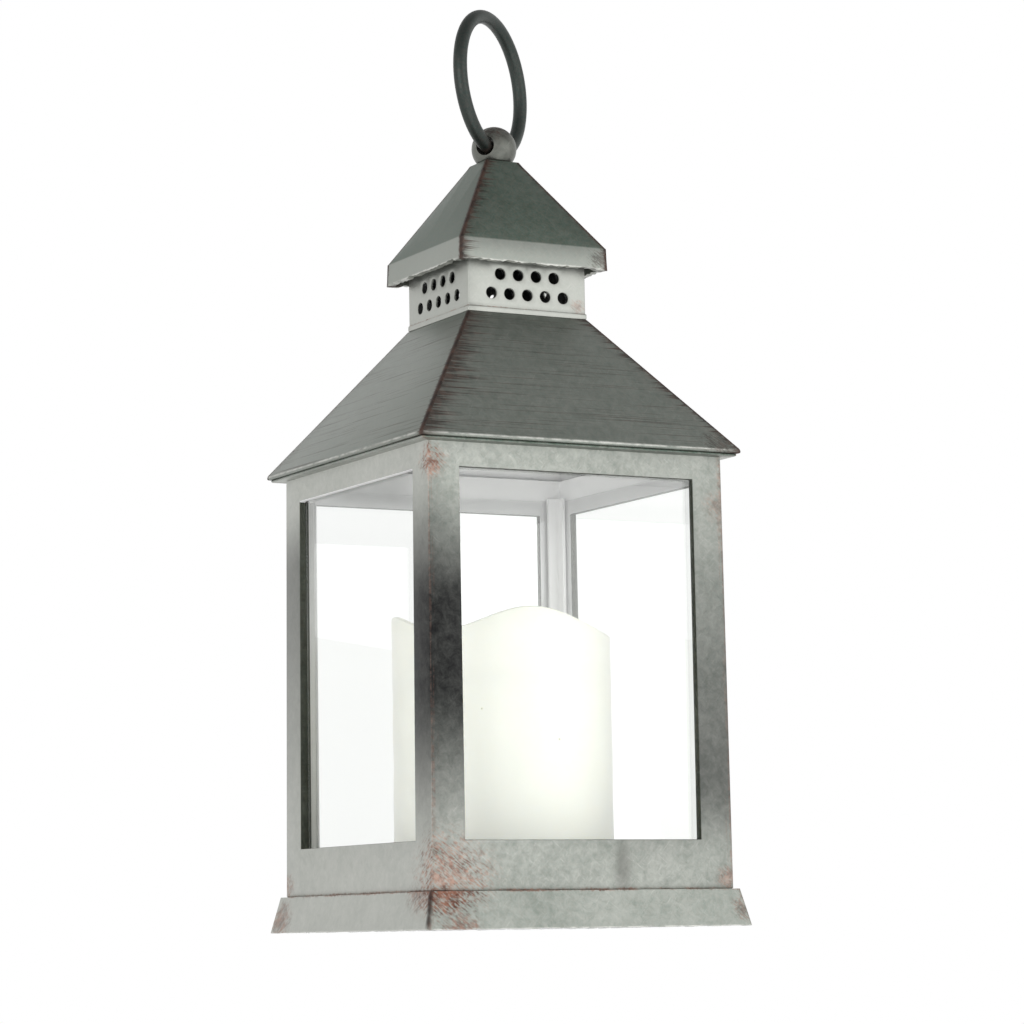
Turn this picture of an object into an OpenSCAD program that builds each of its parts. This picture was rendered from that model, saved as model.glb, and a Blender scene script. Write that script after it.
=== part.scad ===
// Square candle lantern with a pyramid roof, a vented collar, a small cap and a hanging ring.
// The origin is the middle of the base on the surface it stands on, +Z is up and -Y is the front.

/* [Base] */
// How far the base stands out past the body at the ledge, on each side
ledge_reach = 1.35; // [0.8:0.05:2.5]
// How much wider the skirt gets on each side on its way down to its rim
base_flare = 2.4; // [1:0.1:5]
// Height of the base skirt up to the ledge that the body stands on
base_h = 10.7; // [9:0.1:13]
// Wall of the base skirt
skirt_wall = 2; // [1.6:0.1:2.6]
// Thickness of the ledge and of the riser inside the body
ledge_t = 1.8; // [1.4:0.1:2.4]
// Thickness of the floor under the candle
floor_t = 1.8; // [1.4:0.1:2.4]
// How far the bottom plate lies above the rim of the base
plate_recess = 0.8; // [0.6:0.1:1.5]
// Thickness of the bottom plate
plate_t = 1.8; // [1.7:0.1:2.4]

/* [Body] */
// Width of the body where it stands on the base
body_w = 97.5; // [88:0.5:120]
// How much narrower the body gets on each side on its way up to the eaves
body_draft = 0.65; // [0:0.05:1]
// Height of the body from the ledge to the eaves
body_h = 126.7; // [122:0.1:150]
// Wall of the body at its foot
body_wall = 2.85; // [2.4:0.05:3.2]
// Width of the upright posts beside each window
post_w = 10.55; // [9.8:0.05:16]
// Height of the rail below each window
sill_h = 14.2; // [12.5:0.1:18]
// Height of the rail above each window
head_h = 7.9; // [6.5:0.1:14]
// Radius on the upright corners and the hips
edge_r = 0.5; // [0.3:0.1:1]
// Thickness of the flange under the eaves
flange_t = 0.8; // [0.6:0.1:1.2]
// How far the flange stays back from the edge of the eaves
flange_inset = 0.9; // [0.6:0.1:1.4]

/* [Panes] */
// Thickness of a clear pane
pane_t = 1.2; // [0.8:0.1:1.6]
// Play between a pane and each side of its groove
pane_play = 0.1; // [0.05:0.05:0.2]
// How far a pane reaches behind the rails above and below its window
pane_lap = 4.5; // [3:0.1:6]
// Thickness of the lip that holds a pane against the wall
lip_t = 1.2; // [0.8:0.1:1.6]
// How far the lip reaches over the pane
lip_reach = 2.8; // [1.5:0.1:3.2]
// Side of the corner block between two panes
corner_block = 2.9; // [2.7:0.1:3.2]

/* [Roof] */
// How far the eaves stand out past the foot of the body, on each side
eave_reach = 3.75; // [3:0.05:8]
// Height of the upright rim of the eaves
eave_t = 1.1; // [0.9:0.1:2]
// Height of the roof from the rim to the foot of the collar
roof_h = 41.8; // [36:0.2:50]
// Wall of the roof, measured square to the slope
roof_wall = 1.8; // [1.4:0.1:2.2]

/* [Collar] */
// Width of the vented collar
collar_w = 39.3; // [37:0.1:41]
// Wall of the collar
collar_wall = 1.8; // [1.4:0.1:2.2]
// Height of the collar that shows below the cap
collar_show = 14.3; // [13.5:0.1:20]
// Height of the bead at the foot of the collar
foot_h = 1.6; // [1:0.1:2.4]
// How far the bead stands proud of the collar
foot_proud = 0.3; // [0.1:0.1:0.6]
// Diameter of a vent hole
vent_d = 3.5; // [2.5:0.1:4]
// Distance between vent holes in a row
vent_pitch = 6; // [5:0.1:6.4]
// Height of the lower row above the foot of the collar
vent_low = 5.9; // [4.5:0.1:7]
// Distance between the two rows
vent_rise = 5.8; // [4.8:0.1:7]
// Number of vent holes in the lower row, one more than in the upper row
vent_count = 5; // [3:1:5]

/* [Cap] */
// How far the lower edge of the cap stands out past the collar, on each side
cap_reach = 5.05; // [4.6:0.05:8]
// How much narrower the skirt gets on each side on its way up
cap_draft = 0.3; // [0:0.05:0.6]
// Height of the skirt
cap_skirt_h = 6.7; // [5:0.1:9]
// Height of the cap above its skirt
cap_h = 28.5; // [24:0.1:34]
// Width of the flat top of the cap
cap_top_w = 11; // [10.5:0.1:14]
// Wall of the cap, measured square to the slope
cap_wall = 1.6; // [1.4:0.1:2]
// Thickness of the ribs that centre the cap on the collar
cap_rib_t = 1.4; // [1:0.1:2]
// Distance of each rib from the middle of its side
cap_rib_x = 10; // [6:0.5:14]

/* [Finial and ring] */
// Diameter of the ball
ball_d = 13.6; // [13:0.1:15]
// Height of the ball's centre above the flat top of the cap
ball_lift = 4.7; // [4.6:0.1:5.5]
// Diameter of the shank under the ball
shank_d = 5; // [4.4:0.1:6]
// Clearance around the shank, so that the ball can swivel
shank_play = 0.05; // [0.02:0.01:0.1]
// Gap between the ball, the cap and the washer
swivel_gap = 0.1; // [0.05:0.05:0.2]
// Diameter of the ring to the middle of its bar
ring_d = 41.5; // [36:0.5:50]
// Diameter of the ring's bar
ring_bar = 4.2; // [3.5:0.1:4.4]
// Gap where the two ends of the ring meet inside the ball
ring_split = 0.4; // [0.2:0.1:1]
// Clearance around the ring in the hole through the ball
ring_play = 0.28; // [0.2:0.02:0.3]
// Direction that the ring's plane faces, turned from the front-to-back line
ring_turn = 53.6; // [0:0.1:90]
// How far the ring leans to one side at rest
ring_lean = 2.2; // [0:0.1:8]
// Diameter of the washer under the cap
washer_d = 8; // [7.5:0.1:9]
// Thickness of the washer
washer_t = 0.8; // [0.5:0.1:1.2]

/* [Candle] */
// Diameter of the candle
candle_d = 64.4; // [60:0.2:70]
// Wall of the candle at its rim
candle_wall = 2.2; // [1.8:0.1:3]
// Mean height of the candle from the floor to its rim
candle_h = 72.4; // [60:0.2:80]
// Height of the recessed inner disc above the floor
disc_h = 55; // [45:0.5:60]
// Thickness of the inner disc
disc_t = 2; // [1.5:0.1:3]
// Width of the shoulder that the inner disc lies on
disc_seat = 1.4; // [1:0.1:2]
// Height of the ring on the floor that centres the candle
locator_h = 3; // [2:0.1:5]
// Wall of that ring
locator_wall = 1.6; // [1.2:0.1:2.4]
// Clearance between that ring and the candle
locator_play = 0.2; // [0.1:0.05:0.4]

/* [Lamp] */
// Diameter of the lamp
lamp_d = 5; // [3:0.5:5]
// Height of the lamp above its flange
lamp_h = 8.6; // [7.6:0.1:9]
// Clearance around the lamp in the inner disc
lamp_play = 0.5; // [0.3:0.1:1]
// Diameter of the lamp's board
board_d = 12; // [10:0.5:16]
// Thickness of the board
board_t = 1.2; // [0.8:0.1:1.6]
// Diameter of the stalk that carries the board
stalk_d = 8; // [7:0.1:9]
// Bore of the stalk
stalk_bore = 4.6; // [4:0.1:5]
// Diameter of the foot of the stalk
stalk_foot_d = 18; // [14:0.5:24]
// Thickness of the foot of the stalk
stalk_foot_t = 2; // [1.5:0.1:3]
// Diameter of a lead
lead_d = 1.1; // [0.8:0.1:1.3]
// Distance between the middles of the two leads
lead_gap = 1.8; // [1.7:0.1:2]
// Radius of the bend in a lead, to its middle
lead_bend = 3; // [2:0.1:3.5]

/* [Power] */
// Diameter of a battery cell
cell_d = 10.5; // [10:0.1:10.5]
// Length of a battery cell with its nub
cell_l = 44.5; // [43:0.1:45]
// Diameter of the nub on a cell
nub_d = 3.8; // [3:0.1:4.5]
// Length of the nub
nub_l = 0.8; // [0.5:0.1:1.2]
// Number of battery cells
cell_count = 3; // [1:1:3]
// Space between cells, and around them in the bay
cell_play = 0.4; // [0.3:0.05:0.5]
// Room for the contact spring at the end of each cell
spring_l = 4.4; // [3.4:0.1:5]
// Diameter of a contact spring
spring_d = 6; // [5:0.1:7]
// Diameter of the spring wire
spring_wire = 0.6; // [0.5:0.05:0.7]
// Thickness of a contact plate
contact_t = 0.4; // [0.3:0.05:0.5]
// Wall of the battery bay
bay_wall = 1.5; // [1.3:0.1:1.8]
// How far the bay lies inwards from midway between the middle of the base and the riser
bay_shift = 0.15; // [-1:0.05:0.5]
// Thickness of the battery door
door_t = 1.4; // [1.1:0.1:1.5]
// How far the door overlaps the edge of the bay
door_lap = 1; // [0.8:0.1:1.1]
// Gap all round the door
door_gap = 0.2; // [0.15:0.05:0.3]
// Diameter of the rounded hinge edge of the door
knuckle_d = 1.8; // [1.6:0.1:1.8]
// Diameter of the hinge pins of the door
door_pin_d = 1; // [0.8:0.1:1.1]
// Length of each hinge pin
door_pin_l = 1.2; // [0.8:0.1:1.6]
// Clearance around each hinge pin
door_pin_play = 0.06; // [0.02:0.01:0.08]
// Width of the finger notch at the free edge of the door
notch_w = 12; // [8:0.5:16]

/* [Switch] */
// Distance from the middle of the base to the switch
switch_y = 22; // [18:0.5:30]
// Length of the switch
switch_l = 13; // [12:0.1:16]
// Width of the switch
switch_w = 6; // [5.4:0.1:8]
// Height of the switch
switch_h = 5; // [3.6:0.1:6]
// Travel of the slider
slider_travel = 3; // [2:0.1:3.4]
// Length of the slider's grip
slider_l = 4.6; // [4:0.1:5]
// Width of the slider's grip
slider_w = 3.4; // [3:0.1:3.8]
// How far the grip stays above the surface that the base stands on
slider_recess = 0.3; // [0.2:0.1:0.5]
// Clearance around the slider
slider_play = 0.2; // [0.1:0.05:0.3]

/* [Screws] */
// Distance of each base screw from the two inner faces of the body at its corner
screw_inset = 6.9; // [6:0.1:8]
// Diameter of a base screw
screw_d = 2.9; // [2.5:0.1:3]
// Diameter of a screw's head
screw_head_d = 5.6; // [5:0.1:6]
// Height of a screw's head
screw_head_h = 1; // [0.8:0.1:1.1]
// Width of the cross slot in a screw's head
slot_w = 0.9; // [0.6:0.1:1.1]
// Clearance around a screw where it only passes through
screw_play = 0.25; // [0.15:0.05:0.4]
// Diameter of the posts and bosses around the screws
post_d = 7.5; // [7:0.1:8]
// Height of the bosses in the corners of the body
boss_h = 8; // [5:0.1:8]

/* [Hidden] */
$fn = 64;
eps = 0.01;
edge_fn = 24;
// How far a cut runs past the surface that it opens
cut = 1;

// Small gaps, steps and walls
seam = 0.1;
cell_rise = 0.15;
spigot_play = 0.2;
plate_play = 0.3;
head_sunk = 0.3;
cross_depth = 0.6;
pilot_web = 0.6;
candle_foot = 0.6;
switch_wall = 0.6;
slider_foot_t = 1.2;
lamp_step = 0.4;
lamp_show = 4;

// Colours
paint = [0.40, 0.43, 0.40];
bare = [0.80, 0.80, 0.82];
steel = [0.72, 0.73, 0.75];
wax = [0.96, 0.95, 0.89];
clear = [0.9, 0.95, 0.97, 0.35];
dark = [0.12, 0.12, 0.13];

// Widths that follow from the body
inner_w = body_w - 2 * body_wall;
body_top_w = body_w - 2 * body_draft;
window_w = body_w - 2 * post_w;
base_top_w = body_w + 2 * ledge_reach;
base_w = base_top_w + 2 * base_flare;
riser_w = inner_w - 2 * pane_play;
roof_w = body_w + 2 * eave_reach;
cap_w = collar_w + 2 * cap_reach;
screw_x = inner_w / 2 - screw_inset;

// Heights of the base and the battery bay
plate_z = plate_recess;
plate_top = plate_z + plate_t;
cell_z = plate_z + door_t + cell_rise + cell_d / 2;
bay_roof = cell_z + cell_d / 2 + cell_rise;
bay_top = bay_roof + bay_wall;
floor_under = bay_top + seam;
floor_top = floor_under + floor_t;
pivot_z = plate_z + knuckle_d / 2;

// Widths of the battery bay, which lies in front of the middle of the base
bay_l = cell_l + spring_l + 2 * contact_t;
bay_w = cell_count * cell_d + (cell_count + 1) * cell_play;
bay_y = -(riser_w / 4 - ledge_t / 2 - bay_shift);
door_half_x = bay_l / 2 + door_lap - door_gap;
door_half_y = bay_w / 2 + door_lap - door_gap;
pivot_x = -(door_half_x - knuckle_d / 2);

// Heights of the body and the roof
eave_z = base_h + body_h;
sill_z = base_h + sill_h;
window_top = eave_z - head_h;
window_h = window_top - sill_z;
pane_seat = sill_z - pane_lap;
pane_top = window_top + pane_lap;
pane_w = inner_w - 2 * corner_block - 2 * pane_play;
groove = pane_t + 2 * pane_play;
roof_foot = eave_z + eave_t;
collar_z = roof_foot + roof_h;
foot_w = collar_w + 2 * foot_proud;
roof_slope = roof_h / ((roof_w - foot_w) / 2);
roof_tv = roof_wall * sqrt(1 + roof_slope * roof_slope);
wall_top = roof_foot - roof_tv + (roof_w - body_top_w) / 2 * roof_slope - 2 * seam;
flange_w = roof_w - 2 * flange_inset;

// Heights of the cap
cap_z = collar_z + collar_show;
cap_foot_w = cap_w - 2 * cap_draft;
cap_slope_z = cap_z + cap_skirt_h;
cap_top = cap_slope_z + cap_h;
cap_slope = cap_h / ((cap_foot_w - cap_top_w) / 2);
cap_tv = cap_wall * sqrt(1 + cap_slope * cap_slope);
cap_inner_w = cap_foot_w - 2 * cap_wall;
cap_inner_z = cap_slope_z - cap_tv + (cap_foot_w - cap_inner_w) / 2 * cap_slope;
collar_top = cap_slope_z - cap_tv + (cap_foot_w - collar_w) / 2 * cap_slope - 1.5 * seam;
spigot_w = foot_w - 4 * roof_wall;

// The ball and the ring
ball_r = ball_d / 2;
ring_r = ring_d / 2;
bar_r = ring_bar / 2;
ball_z = cap_top + ball_lift;
ring_sag = ring_r - sqrt(ring_r * ring_r - ball_r * ball_r);
ring_low = ring_sag / 2;
ring_hole_r = bar_r + ring_low + ring_play;
ball_foot = cap_top + swivel_gap;
shank_bottom = cap_top - cap_tv - swivel_gap;
pilot_top = ball_z - ring_hole_r - pilot_web;

// The candle and the lamp
candle_r = candle_d / 2;
candle_in = candle_r - candle_wall;
seat_in = candle_in - disc_seat;
rim_mid = floor_top + candle_h;
rim_round = candle_wall / 2;
disc_z = floor_top + disc_h;
board_top = disc_z - (lamp_h - lamp_show);
stalk_top = board_top - board_t;
lamp_flange_d = lamp_d + 2 * lamp_step;
// Waves of the melted rim: number of lobes, height and turn of each wave
rim_waves = [[1, 1.45, 202], [3, 2.45, 80], [4, 0.6, -48], [5, 0.5, 163]];
rim_steps = 120;

// The leads, the screws and the switch
lead_z = (floor_under + plate_top) / 2;
lead_end = switch_y - switch_w / 2 - slider_play;
boss_top = floor_top + boss_h;
screw_top = boss_top - 1;
head_z = plate_z + head_sunk;
screw_r = screw_d / 2;
screw_hole_r = screw_r + screw_play;
grip_bottom = slider_recess;
slider_foot_l = slider_l + 1.6;
slider_x = -slider_travel / 2;

function rim_sum(a, i = 0) =
    i == len(rim_waves) ? 0
    : rim_waves[i][1] * cos(rim_waves[i][0] * a - rim_waves[i][2]) + rim_sum(a, i + 1);
function rim_z(a) = rim_mid + rim_sum(a);

// A square with rounded corners, centred
module soft_square(w) {
    offset(r = edge_r) square(w - 2 * edge_r, center = true, $fn = edge_fn);
}

// A four-sided taper from width w1 at height z1 to width w2 at height z2
module taper(w1, z1, w2, z2) {
    translate([0, 0, z1]) linear_extrude(height = z2 - z1, scale = w2 / w1, $fn = edge_fn) soft_square(w1);
}

// The same with sharp corners, for hollows
module hollow_taper(w1, z1, w2, z2) {
    translate([0, 0, z1]) linear_extrude(height = z2 - z1, scale = w2 / w1) square(w1, center = true);
}

// An upright square block from height z1 to height z2
module block(w, z1, z2) {
    translate([-w / 2, -w / 2, z1]) cube([w, w, z2 - z1]);
}

module upright(d, z1, z2) {
    translate([0, 0, z1]) cylinder(d = d, h = z2 - z1);
}

module at_screws() {
    for (x = [-screw_x, screw_x], y = [-screw_x, screw_x]) translate([x, y, 0]) children();
}

module four_sides() {
    for (turn = [0:90:270]) rotate([0, 0, turn]) children();
}

// The base: a flared skirt, a ledge for the body, and a floor that rises inside the body
module base_tray() {
    skirt_drop = (base_w - base_top_w) / base_h * ledge_t;
    color(paint) difference() {
        union() {
            taper(base_w, 0, base_top_w, base_h);
            block(riser_w, base_h - eps, floor_top);
            upright(2 * (seat_in - locator_play), floor_top - eps, floor_top + locator_h);
        }
        hollow_taper(
            base_w - 2 * skirt_wall, -eps, base_top_w - 2 * skirt_wall + skirt_drop, base_h - ledge_t
        );
        block(riser_w - 2 * ledge_t, base_h - ledge_t - eps, floor_under);
        upright(2 * (seat_in - locator_play - locator_wall), floor_top, floor_top + locator_h + cut);
        upright(stalk_bore, floor_under - cut, floor_top + cut);
        at_screws() upright(2 * screw_hole_r, floor_under - cut, floor_top + cut);
    }
    color(paint) at_screws() difference() {
        upright(post_d, plate_top, floor_under + eps);
        upright(2 * screw_hole_r, plate_top - cut, floor_under + cut);
    }
}

// The bottom plate with its battery bay, switch slot and screw holes
module bottom_plate() {
    plate_w = base_w - 2 * skirt_wall - (base_w - base_top_w) / base_h * plate_top - 2 * plate_play;
    slot_l = slider_l + slider_travel + 2 * slider_play;
    cheek_t = 1.2;
    cheek_h = switch_h * 0.6;
    cheek_x = switch_l / 2 + slider_play + cheek_t / 2;
    groove_w = knuckle_d + cheek_t;
    groove_depth = knuckle_d + slider_play + seam;
    pin_bore_l = 2 * (door_half_y + door_pin_l + 3 * seam);
    notch_depth = 0.8;
    color(dark) difference() {
        union() {
            block(plate_w, plate_z, plate_top);
            translate([-bay_l / 2 - bay_wall, bay_y - bay_w / 2 - bay_wall, plate_z])
                cube([bay_l + 2 * bay_wall, bay_w + 2 * bay_wall, bay_top - plate_z]);
            // the cheeks that hold the switch at its ends
            for (side = [-1, 1])
                translate([side * cheek_x - cheek_t / 2, switch_y - switch_w / 2, plate_z])
                    cube([cheek_t, switch_w, plate_t + cheek_h]);
        }
        // the bay, the rebate of the door and the groove for its hinge edge
        bay_cut(0, bay_l, bay_roof - plate_z);
        bay_cut(door_lap, bay_l + 2 * door_lap, door_t + seam);
        bay_cut(door_lap, groove_w, groove_depth);
        translate([pivot_x, bay_y + pin_bore_l / 2, pivot_z]) rotate([90, 0, 0])
            cylinder(d = door_pin_d + 2 * door_pin_play, h = pin_bore_l);
        // the finger notch
        translate([bay_l / 2 + door_lap - eps, bay_y, plate_z - cut])
            cylinder(d = notch_w / 2, h = cut + notch_depth);
        // the slot of the slider
        translate([-slot_l / 2, switch_y - slider_w / 2 - slider_play, plate_z - cut])
            cube([slot_l, slider_w + 2 * slider_play, plate_t + 2 * cut]);
        at_screws() {
            upright(2 * screw_hole_r, plate_z - cut, plate_top + cut);
            upright(screw_head_d + 2 * screw_play, plate_z - cut, head_z + screw_head_h);
        }
    }
}

// A cut from below into the bottom plate over the bay, wider than the bay by a lap on each side
module bay_cut(lap, length, depth) {
    translate([-bay_l / 2 - lap, bay_y - bay_w / 2 - lap, plate_z - cut])
        cube([length, bay_w + 2 * lap, cut + depth]);
}

// The battery door, which turns on two pins at its rounded edge
module battery_door() {
    grip_pitch = 2.4;
    grip_w = 1;
    grip_depth = 0.4;
    color(dark) {
        difference() {
            translate([pivot_x, bay_y - door_half_y, plate_z])
                cube([door_half_x - pivot_x, 2 * door_half_y, door_t]);
            // shallow finger grooves
            for (i = [1:4])
                translate([door_half_x - (i + 2) * grip_pitch, bay_y - notch_w / 2, plate_z - cut])
                    cube([grip_w, notch_w, cut + grip_depth]);
        }
        translate([pivot_x, bay_y + door_half_y, pivot_z]) rotate([90, 0, 0])
            cylinder(d = knuckle_d, h = 2 * door_half_y);
        translate([pivot_x, bay_y + door_half_y + door_pin_l, pivot_z]) rotate([90, 0, 0])
            cylinder(d = door_pin_d, h = 2 * (door_half_y + door_pin_l));
    }
}

// Places one child for each cell, turned end for end from one cell to the next
module at_cells() {
    for (i = [0:cell_count - 1])
        translate([0, bay_y - bay_w / 2 + cell_play + cell_d / 2 + i * (cell_d + cell_play), cell_z])
            rotate([0, 0, 180 * (i % 2)]) children();
}

// Battery cells, each with its nub at the plate end
module battery_cells() {
    end_x = bay_l / 2 - contact_t;
    color([0.25, 0.45, 0.3]) at_cells() {
        translate([end_x - cell_l, 0, 0]) rotate([0, 90, 0]) cylinder(d = cell_d, h = cell_l - nub_l);
        translate([end_x - nub_l - eps, 0, 0]) rotate([0, 90, 0]) cylinder(d = nub_d, h = nub_l + eps);
    }
}

// Contact springs at the flat end of each cell, drawn as their turns
module contact_springs() {
    gap = spring_l - 2 * spring_wire;
    turns = 4;
    first_x = -bay_l / 2 + contact_t + spring_wire / 2;
    pitch = (spring_l - spring_wire) / (turns - 1);
    turn_r = spring_d / 2 - spring_wire;
    color(steel) at_cells() {
        for (i = [0:turns - 1]) translate([first_x + i * pitch, 0, 0]) rotate([0, 90, 0])
            rotate_extrude() translate([turn_r, 0]) circle(d = spring_wire, $fn = 16);
        translate([first_x, turn_r, 0]) rotate([0, 90, 0])
            cylinder(d = spring_wire, h = gap + spring_wire, $fn = 16);
    }
}

// Contact plates at both ends of the bay
module contact_plates() {
    plate_h = cell_d * 0.75;
    plate_x = (bay_l - contact_t) / 2;
    color(steel) for (side = [-1, 1])
        translate([side * plate_x - contact_t / 2, bay_y - bay_w / 2, cell_z - plate_h / 2])
            cube([contact_t, bay_w, plate_h]);
}

// The body of the slide switch, open below for its slider
module switch_body() {
    color(steel) difference() {
        translate([-switch_l / 2, switch_y - switch_w / 2, plate_top]) cube([switch_l, switch_w, switch_h]);
        translate([-switch_l / 2 + switch_wall, switch_y - slider_w / 2 - slider_play, plate_top - cut])
            cube([
                switch_l - 2 * switch_wall, slider_w + 2 * slider_play,
                cut + slider_foot_t + 2 * slider_play + switch_wall
            ]);
    }
}

// The slider of the switch, drawn in its off position
module switch_slider() {
    groove_w = 0.4;
    groove_depth = 0.3;
    color(dark) {
        difference() {
            translate([slider_x - slider_l / 2, switch_y - slider_w / 2, grip_bottom])
                cube([slider_l, slider_w, plate_top + slider_play + eps - grip_bottom]);
            for (i = [-1:1])
                translate([slider_x + (2 * i - 0.5) * groove_w, switch_y - slider_w, grip_bottom - cut])
                    cube([groove_w, 2 * slider_w, cut + groove_depth]);
        }
        translate([slider_x - slider_foot_l / 2, switch_y - slider_w / 2, plate_top + slider_play])
            cube([slider_foot_l, slider_w, slider_foot_t]);
    }
}

// Four screws that hold the bottom plate and the base to the body
module base_screws() {
    color(steel) at_screws() difference() {
        union() {
            upright(screw_head_d, head_z, head_z + screw_head_h);
            upright(screw_d, head_z + screw_head_h - eps, screw_top);
        }
        cross_slot(head_z);
    }
}

// The cross slot in the underside of a screw's head
module cross_slot(z) {
    slot_l = screw_head_d * 0.6;
    for (turn = [0, 90]) rotate([0, 0, turn])
        translate([-slot_l / 2, -slot_w / 2, z - cut]) cube([slot_l, slot_w, cut + cross_depth]);
}

// One inner corner of the body: the block between two panes, the lips that hold them, and a boss
module body_corner() {
    w = inner_w / 2;
    lip_in = w - groove - lip_t;
    translate([w - corner_block, w - corner_block, pane_seat - eps])
        cube([corner_block + eps, corner_block + eps, wall_top - 2 * cut - pane_seat]);
    translate([w - corner_block - lip_reach, lip_in, pane_seat - eps])
        cube([lip_reach + corner_block, lip_t, pane_top + cut - pane_seat]);
    translate([lip_in, w - corner_block - lip_reach, pane_seat - eps])
        cube([lip_t, lip_reach + corner_block, pane_top + cut - pane_seat]);
    translate([screw_x, screw_x, floor_top])
        cube([w - screw_x + eps, w - screw_x + eps, pane_seat - floor_top]);
    translate([screw_x, screw_x, floor_top]) cylinder(d = post_d, h = boss_h);
}

// The body: four walls with a window in each, and grooves inside for the panes
module body_frame() {
    color(paint) difference() {
        union() {
            difference() {
                union() {
                    taper(body_w, base_h, body_top_w, wall_top);
                    taper(flange_w, eave_z - flange_t, flange_w, eave_z);
                }
                block(inner_w, base_h - cut, wall_top + cut);
                four_sides() translate([-window_w / 2, -body_w, sill_z]) cube([window_w, body_w, window_h]);
            }
            four_sides() body_corner();
        }
        at_screws() upright(screw_d, floor_top - cut, screw_top);
    }
}

// A clear pane for the side that faces the front before it is turned
module pane(turn) {
    color(clear) rotate([0, 0, turn])
        translate([-pane_w / 2, -inner_w / 2 + pane_play, pane_seat])
            cube([pane_w, pane_t, pane_top - pane_seat]);
}

module front_pane() {
    pane(0);
}

module right_pane() {
    pane(90);
}

module rear_pane() {
    pane(180);
}

module left_pane() {
    pane(270);
}

// Points of the candle's wall at one angle, from its foot outside, over the rim and down inside
function candle_profile(a) = let (top = rim_z(a)) [
    [candle_r - candle_foot, floor_top],
    [candle_r, floor_top + candle_foot],
    for (s = [0:30:180]) [candle_r - rim_round + rim_round * cos(s), top - rim_round + rim_round * sin(s)],
    [candle_in, disc_z],
    [seat_in, disc_z],
    [seat_in, floor_top]
];
function around(p, a) = [p[0] * cos(a), p[0] * sin(a), p[1]];

// The candle: a hollow cylinder of wax with a wavy, rounded rim
module candle_shell() {
    n = len(candle_profile(0));
    points = [
        for (i = [0:rim_steps - 1])
            let (a = i * 360 / rim_steps)
            for (p = candle_profile(a)) around(p, a)
    ];
    faces = [
        for (i = [0:rim_steps - 1]) for (j = [0:n - 1])
            let (a = i * n + j, b = i * n + (j + 1) % n, k = ((i + 1) % rim_steps) * n)
            each [[a, b, k + (j + 1) % n], [a, k + (j + 1) % n, k + j]]
    ];
    color(wax) polyhedron(points, faces);
}

// The recessed disc inside the candle, with a hole for the lamp
module candle_disc() {
    color(wax) difference() {
        upright(2 * (candle_in - locator_play), disc_z, disc_z + disc_t);
        upright(lamp_d + 2 * lamp_play, disc_z - cut, disc_z + disc_t + cut);
    }
}

// The lamp with its flange and domed tip
module lamp() {
    dome = lamp_d / 2;
    flange_t = 1;
    color([1, 0.75, 0.3, 0.6]) {
        upright(lamp_flange_d, board_top, board_top + flange_t);
        upright(lamp_d, board_top + flange_t - eps, board_top + lamp_h - dome);
        translate([0, 0, board_top + lamp_h - dome]) intersection() {
            sphere(r = dome);
            upright(lamp_d + cut, -eps, dome + cut);
        }
    }
}

module lamp_board() {
    color([0.2, 0.4, 0.25]) difference() {
        upright(board_d, stalk_top, board_top);
        for (side = [-1, 1]) translate([side * lead_gap / 2, 0, 0])
            upright(lead_d, stalk_top - cut, board_top + cut);
    }
}

// The stalk that stands on the floor and carries the lamp's board
module lamp_stalk() {
    color(bare) difference() {
        union() {
            upright(stalk_d, floor_top, stalk_top);
            upright(stalk_foot_d, floor_top, floor_top + stalk_foot_t);
        }
        upright(stalk_bore, floor_top - cut, stalk_top + cut);
    }
}

// Two leads from the board down the stalk and across to the switch
module lamp_leads() {
    color("firebrick") for (side = [-1, 1]) translate([side * lead_gap / 2, 0, 0]) {
        upright(lead_d, lead_z + lead_bend, board_top);
        translate([0, lead_bend, lead_z + lead_bend]) rotate([90, 0, 90]) rotate([0, 0, 180])
            rotate_extrude(angle = 90) translate([lead_bend, 0]) circle(d = lead_d, $fn = 24);
        translate([0, lead_end, lead_z]) rotate([90, 0, 0]) cylinder(d = lead_d, h = lead_end - lead_bend);
    }
}

// The main roof: a hollow pyramid with an upright rim and an opening for the collar
module main_roof() {
    inner_foot_w = roof_w - 2 * (roof_tv - eave_t) / roof_slope;
    color(paint) difference() {
        union() {
            taper(roof_w, eave_z, roof_w, roof_foot);
            taper(roof_w, roof_foot - eps, foot_w, collar_z);
        }
        hollow_taper(inner_foot_w, eave_z, foot_w, collar_z - roof_tv);
        block(inner_foot_w, eave_z - cut, eave_z + eps);
        block(spigot_w, collar_z - roof_tv - cut, collar_z + cut);
    }
}

// One row of vent holes through two opposite walls of the collar
module vent_row(count, z) {
    for (i = [0:count - 1])
        translate([(i - (count - 1) / 2) * vent_pitch, collar_w, z]) rotate([90, 0, 0])
            cylinder(d = vent_d, h = 2 * collar_w);
}

// The collar: a square tube with two rows of vent holes, a bead at its foot and a spigot below
module vent_collar() {
    inner = collar_w - 2 * collar_wall;
    spigot_out = spigot_w - 2 * spigot_play;
    spigot_in = spigot_out - 2 * collar_wall;
    color(paint) difference() {
        union() {
            taper(collar_w, collar_z, collar_w, collar_top);
            taper(foot_w, collar_z, foot_w, collar_z + foot_h);
            block(spigot_out, collar_z - roof_tv, collar_z + eps);
        }
        block(inner, collar_z + foot_h, collar_top + cut);
        block(spigot_in, collar_z - roof_tv - cut, collar_z + foot_h + cut);
        for (turn = [0, 90]) rotate([0, 0, turn]) {
            vent_row(vent_count, collar_z + vent_low);
            vent_row(vent_count - 1, collar_z + vent_low + vent_rise);
        }
    }
}

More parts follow.
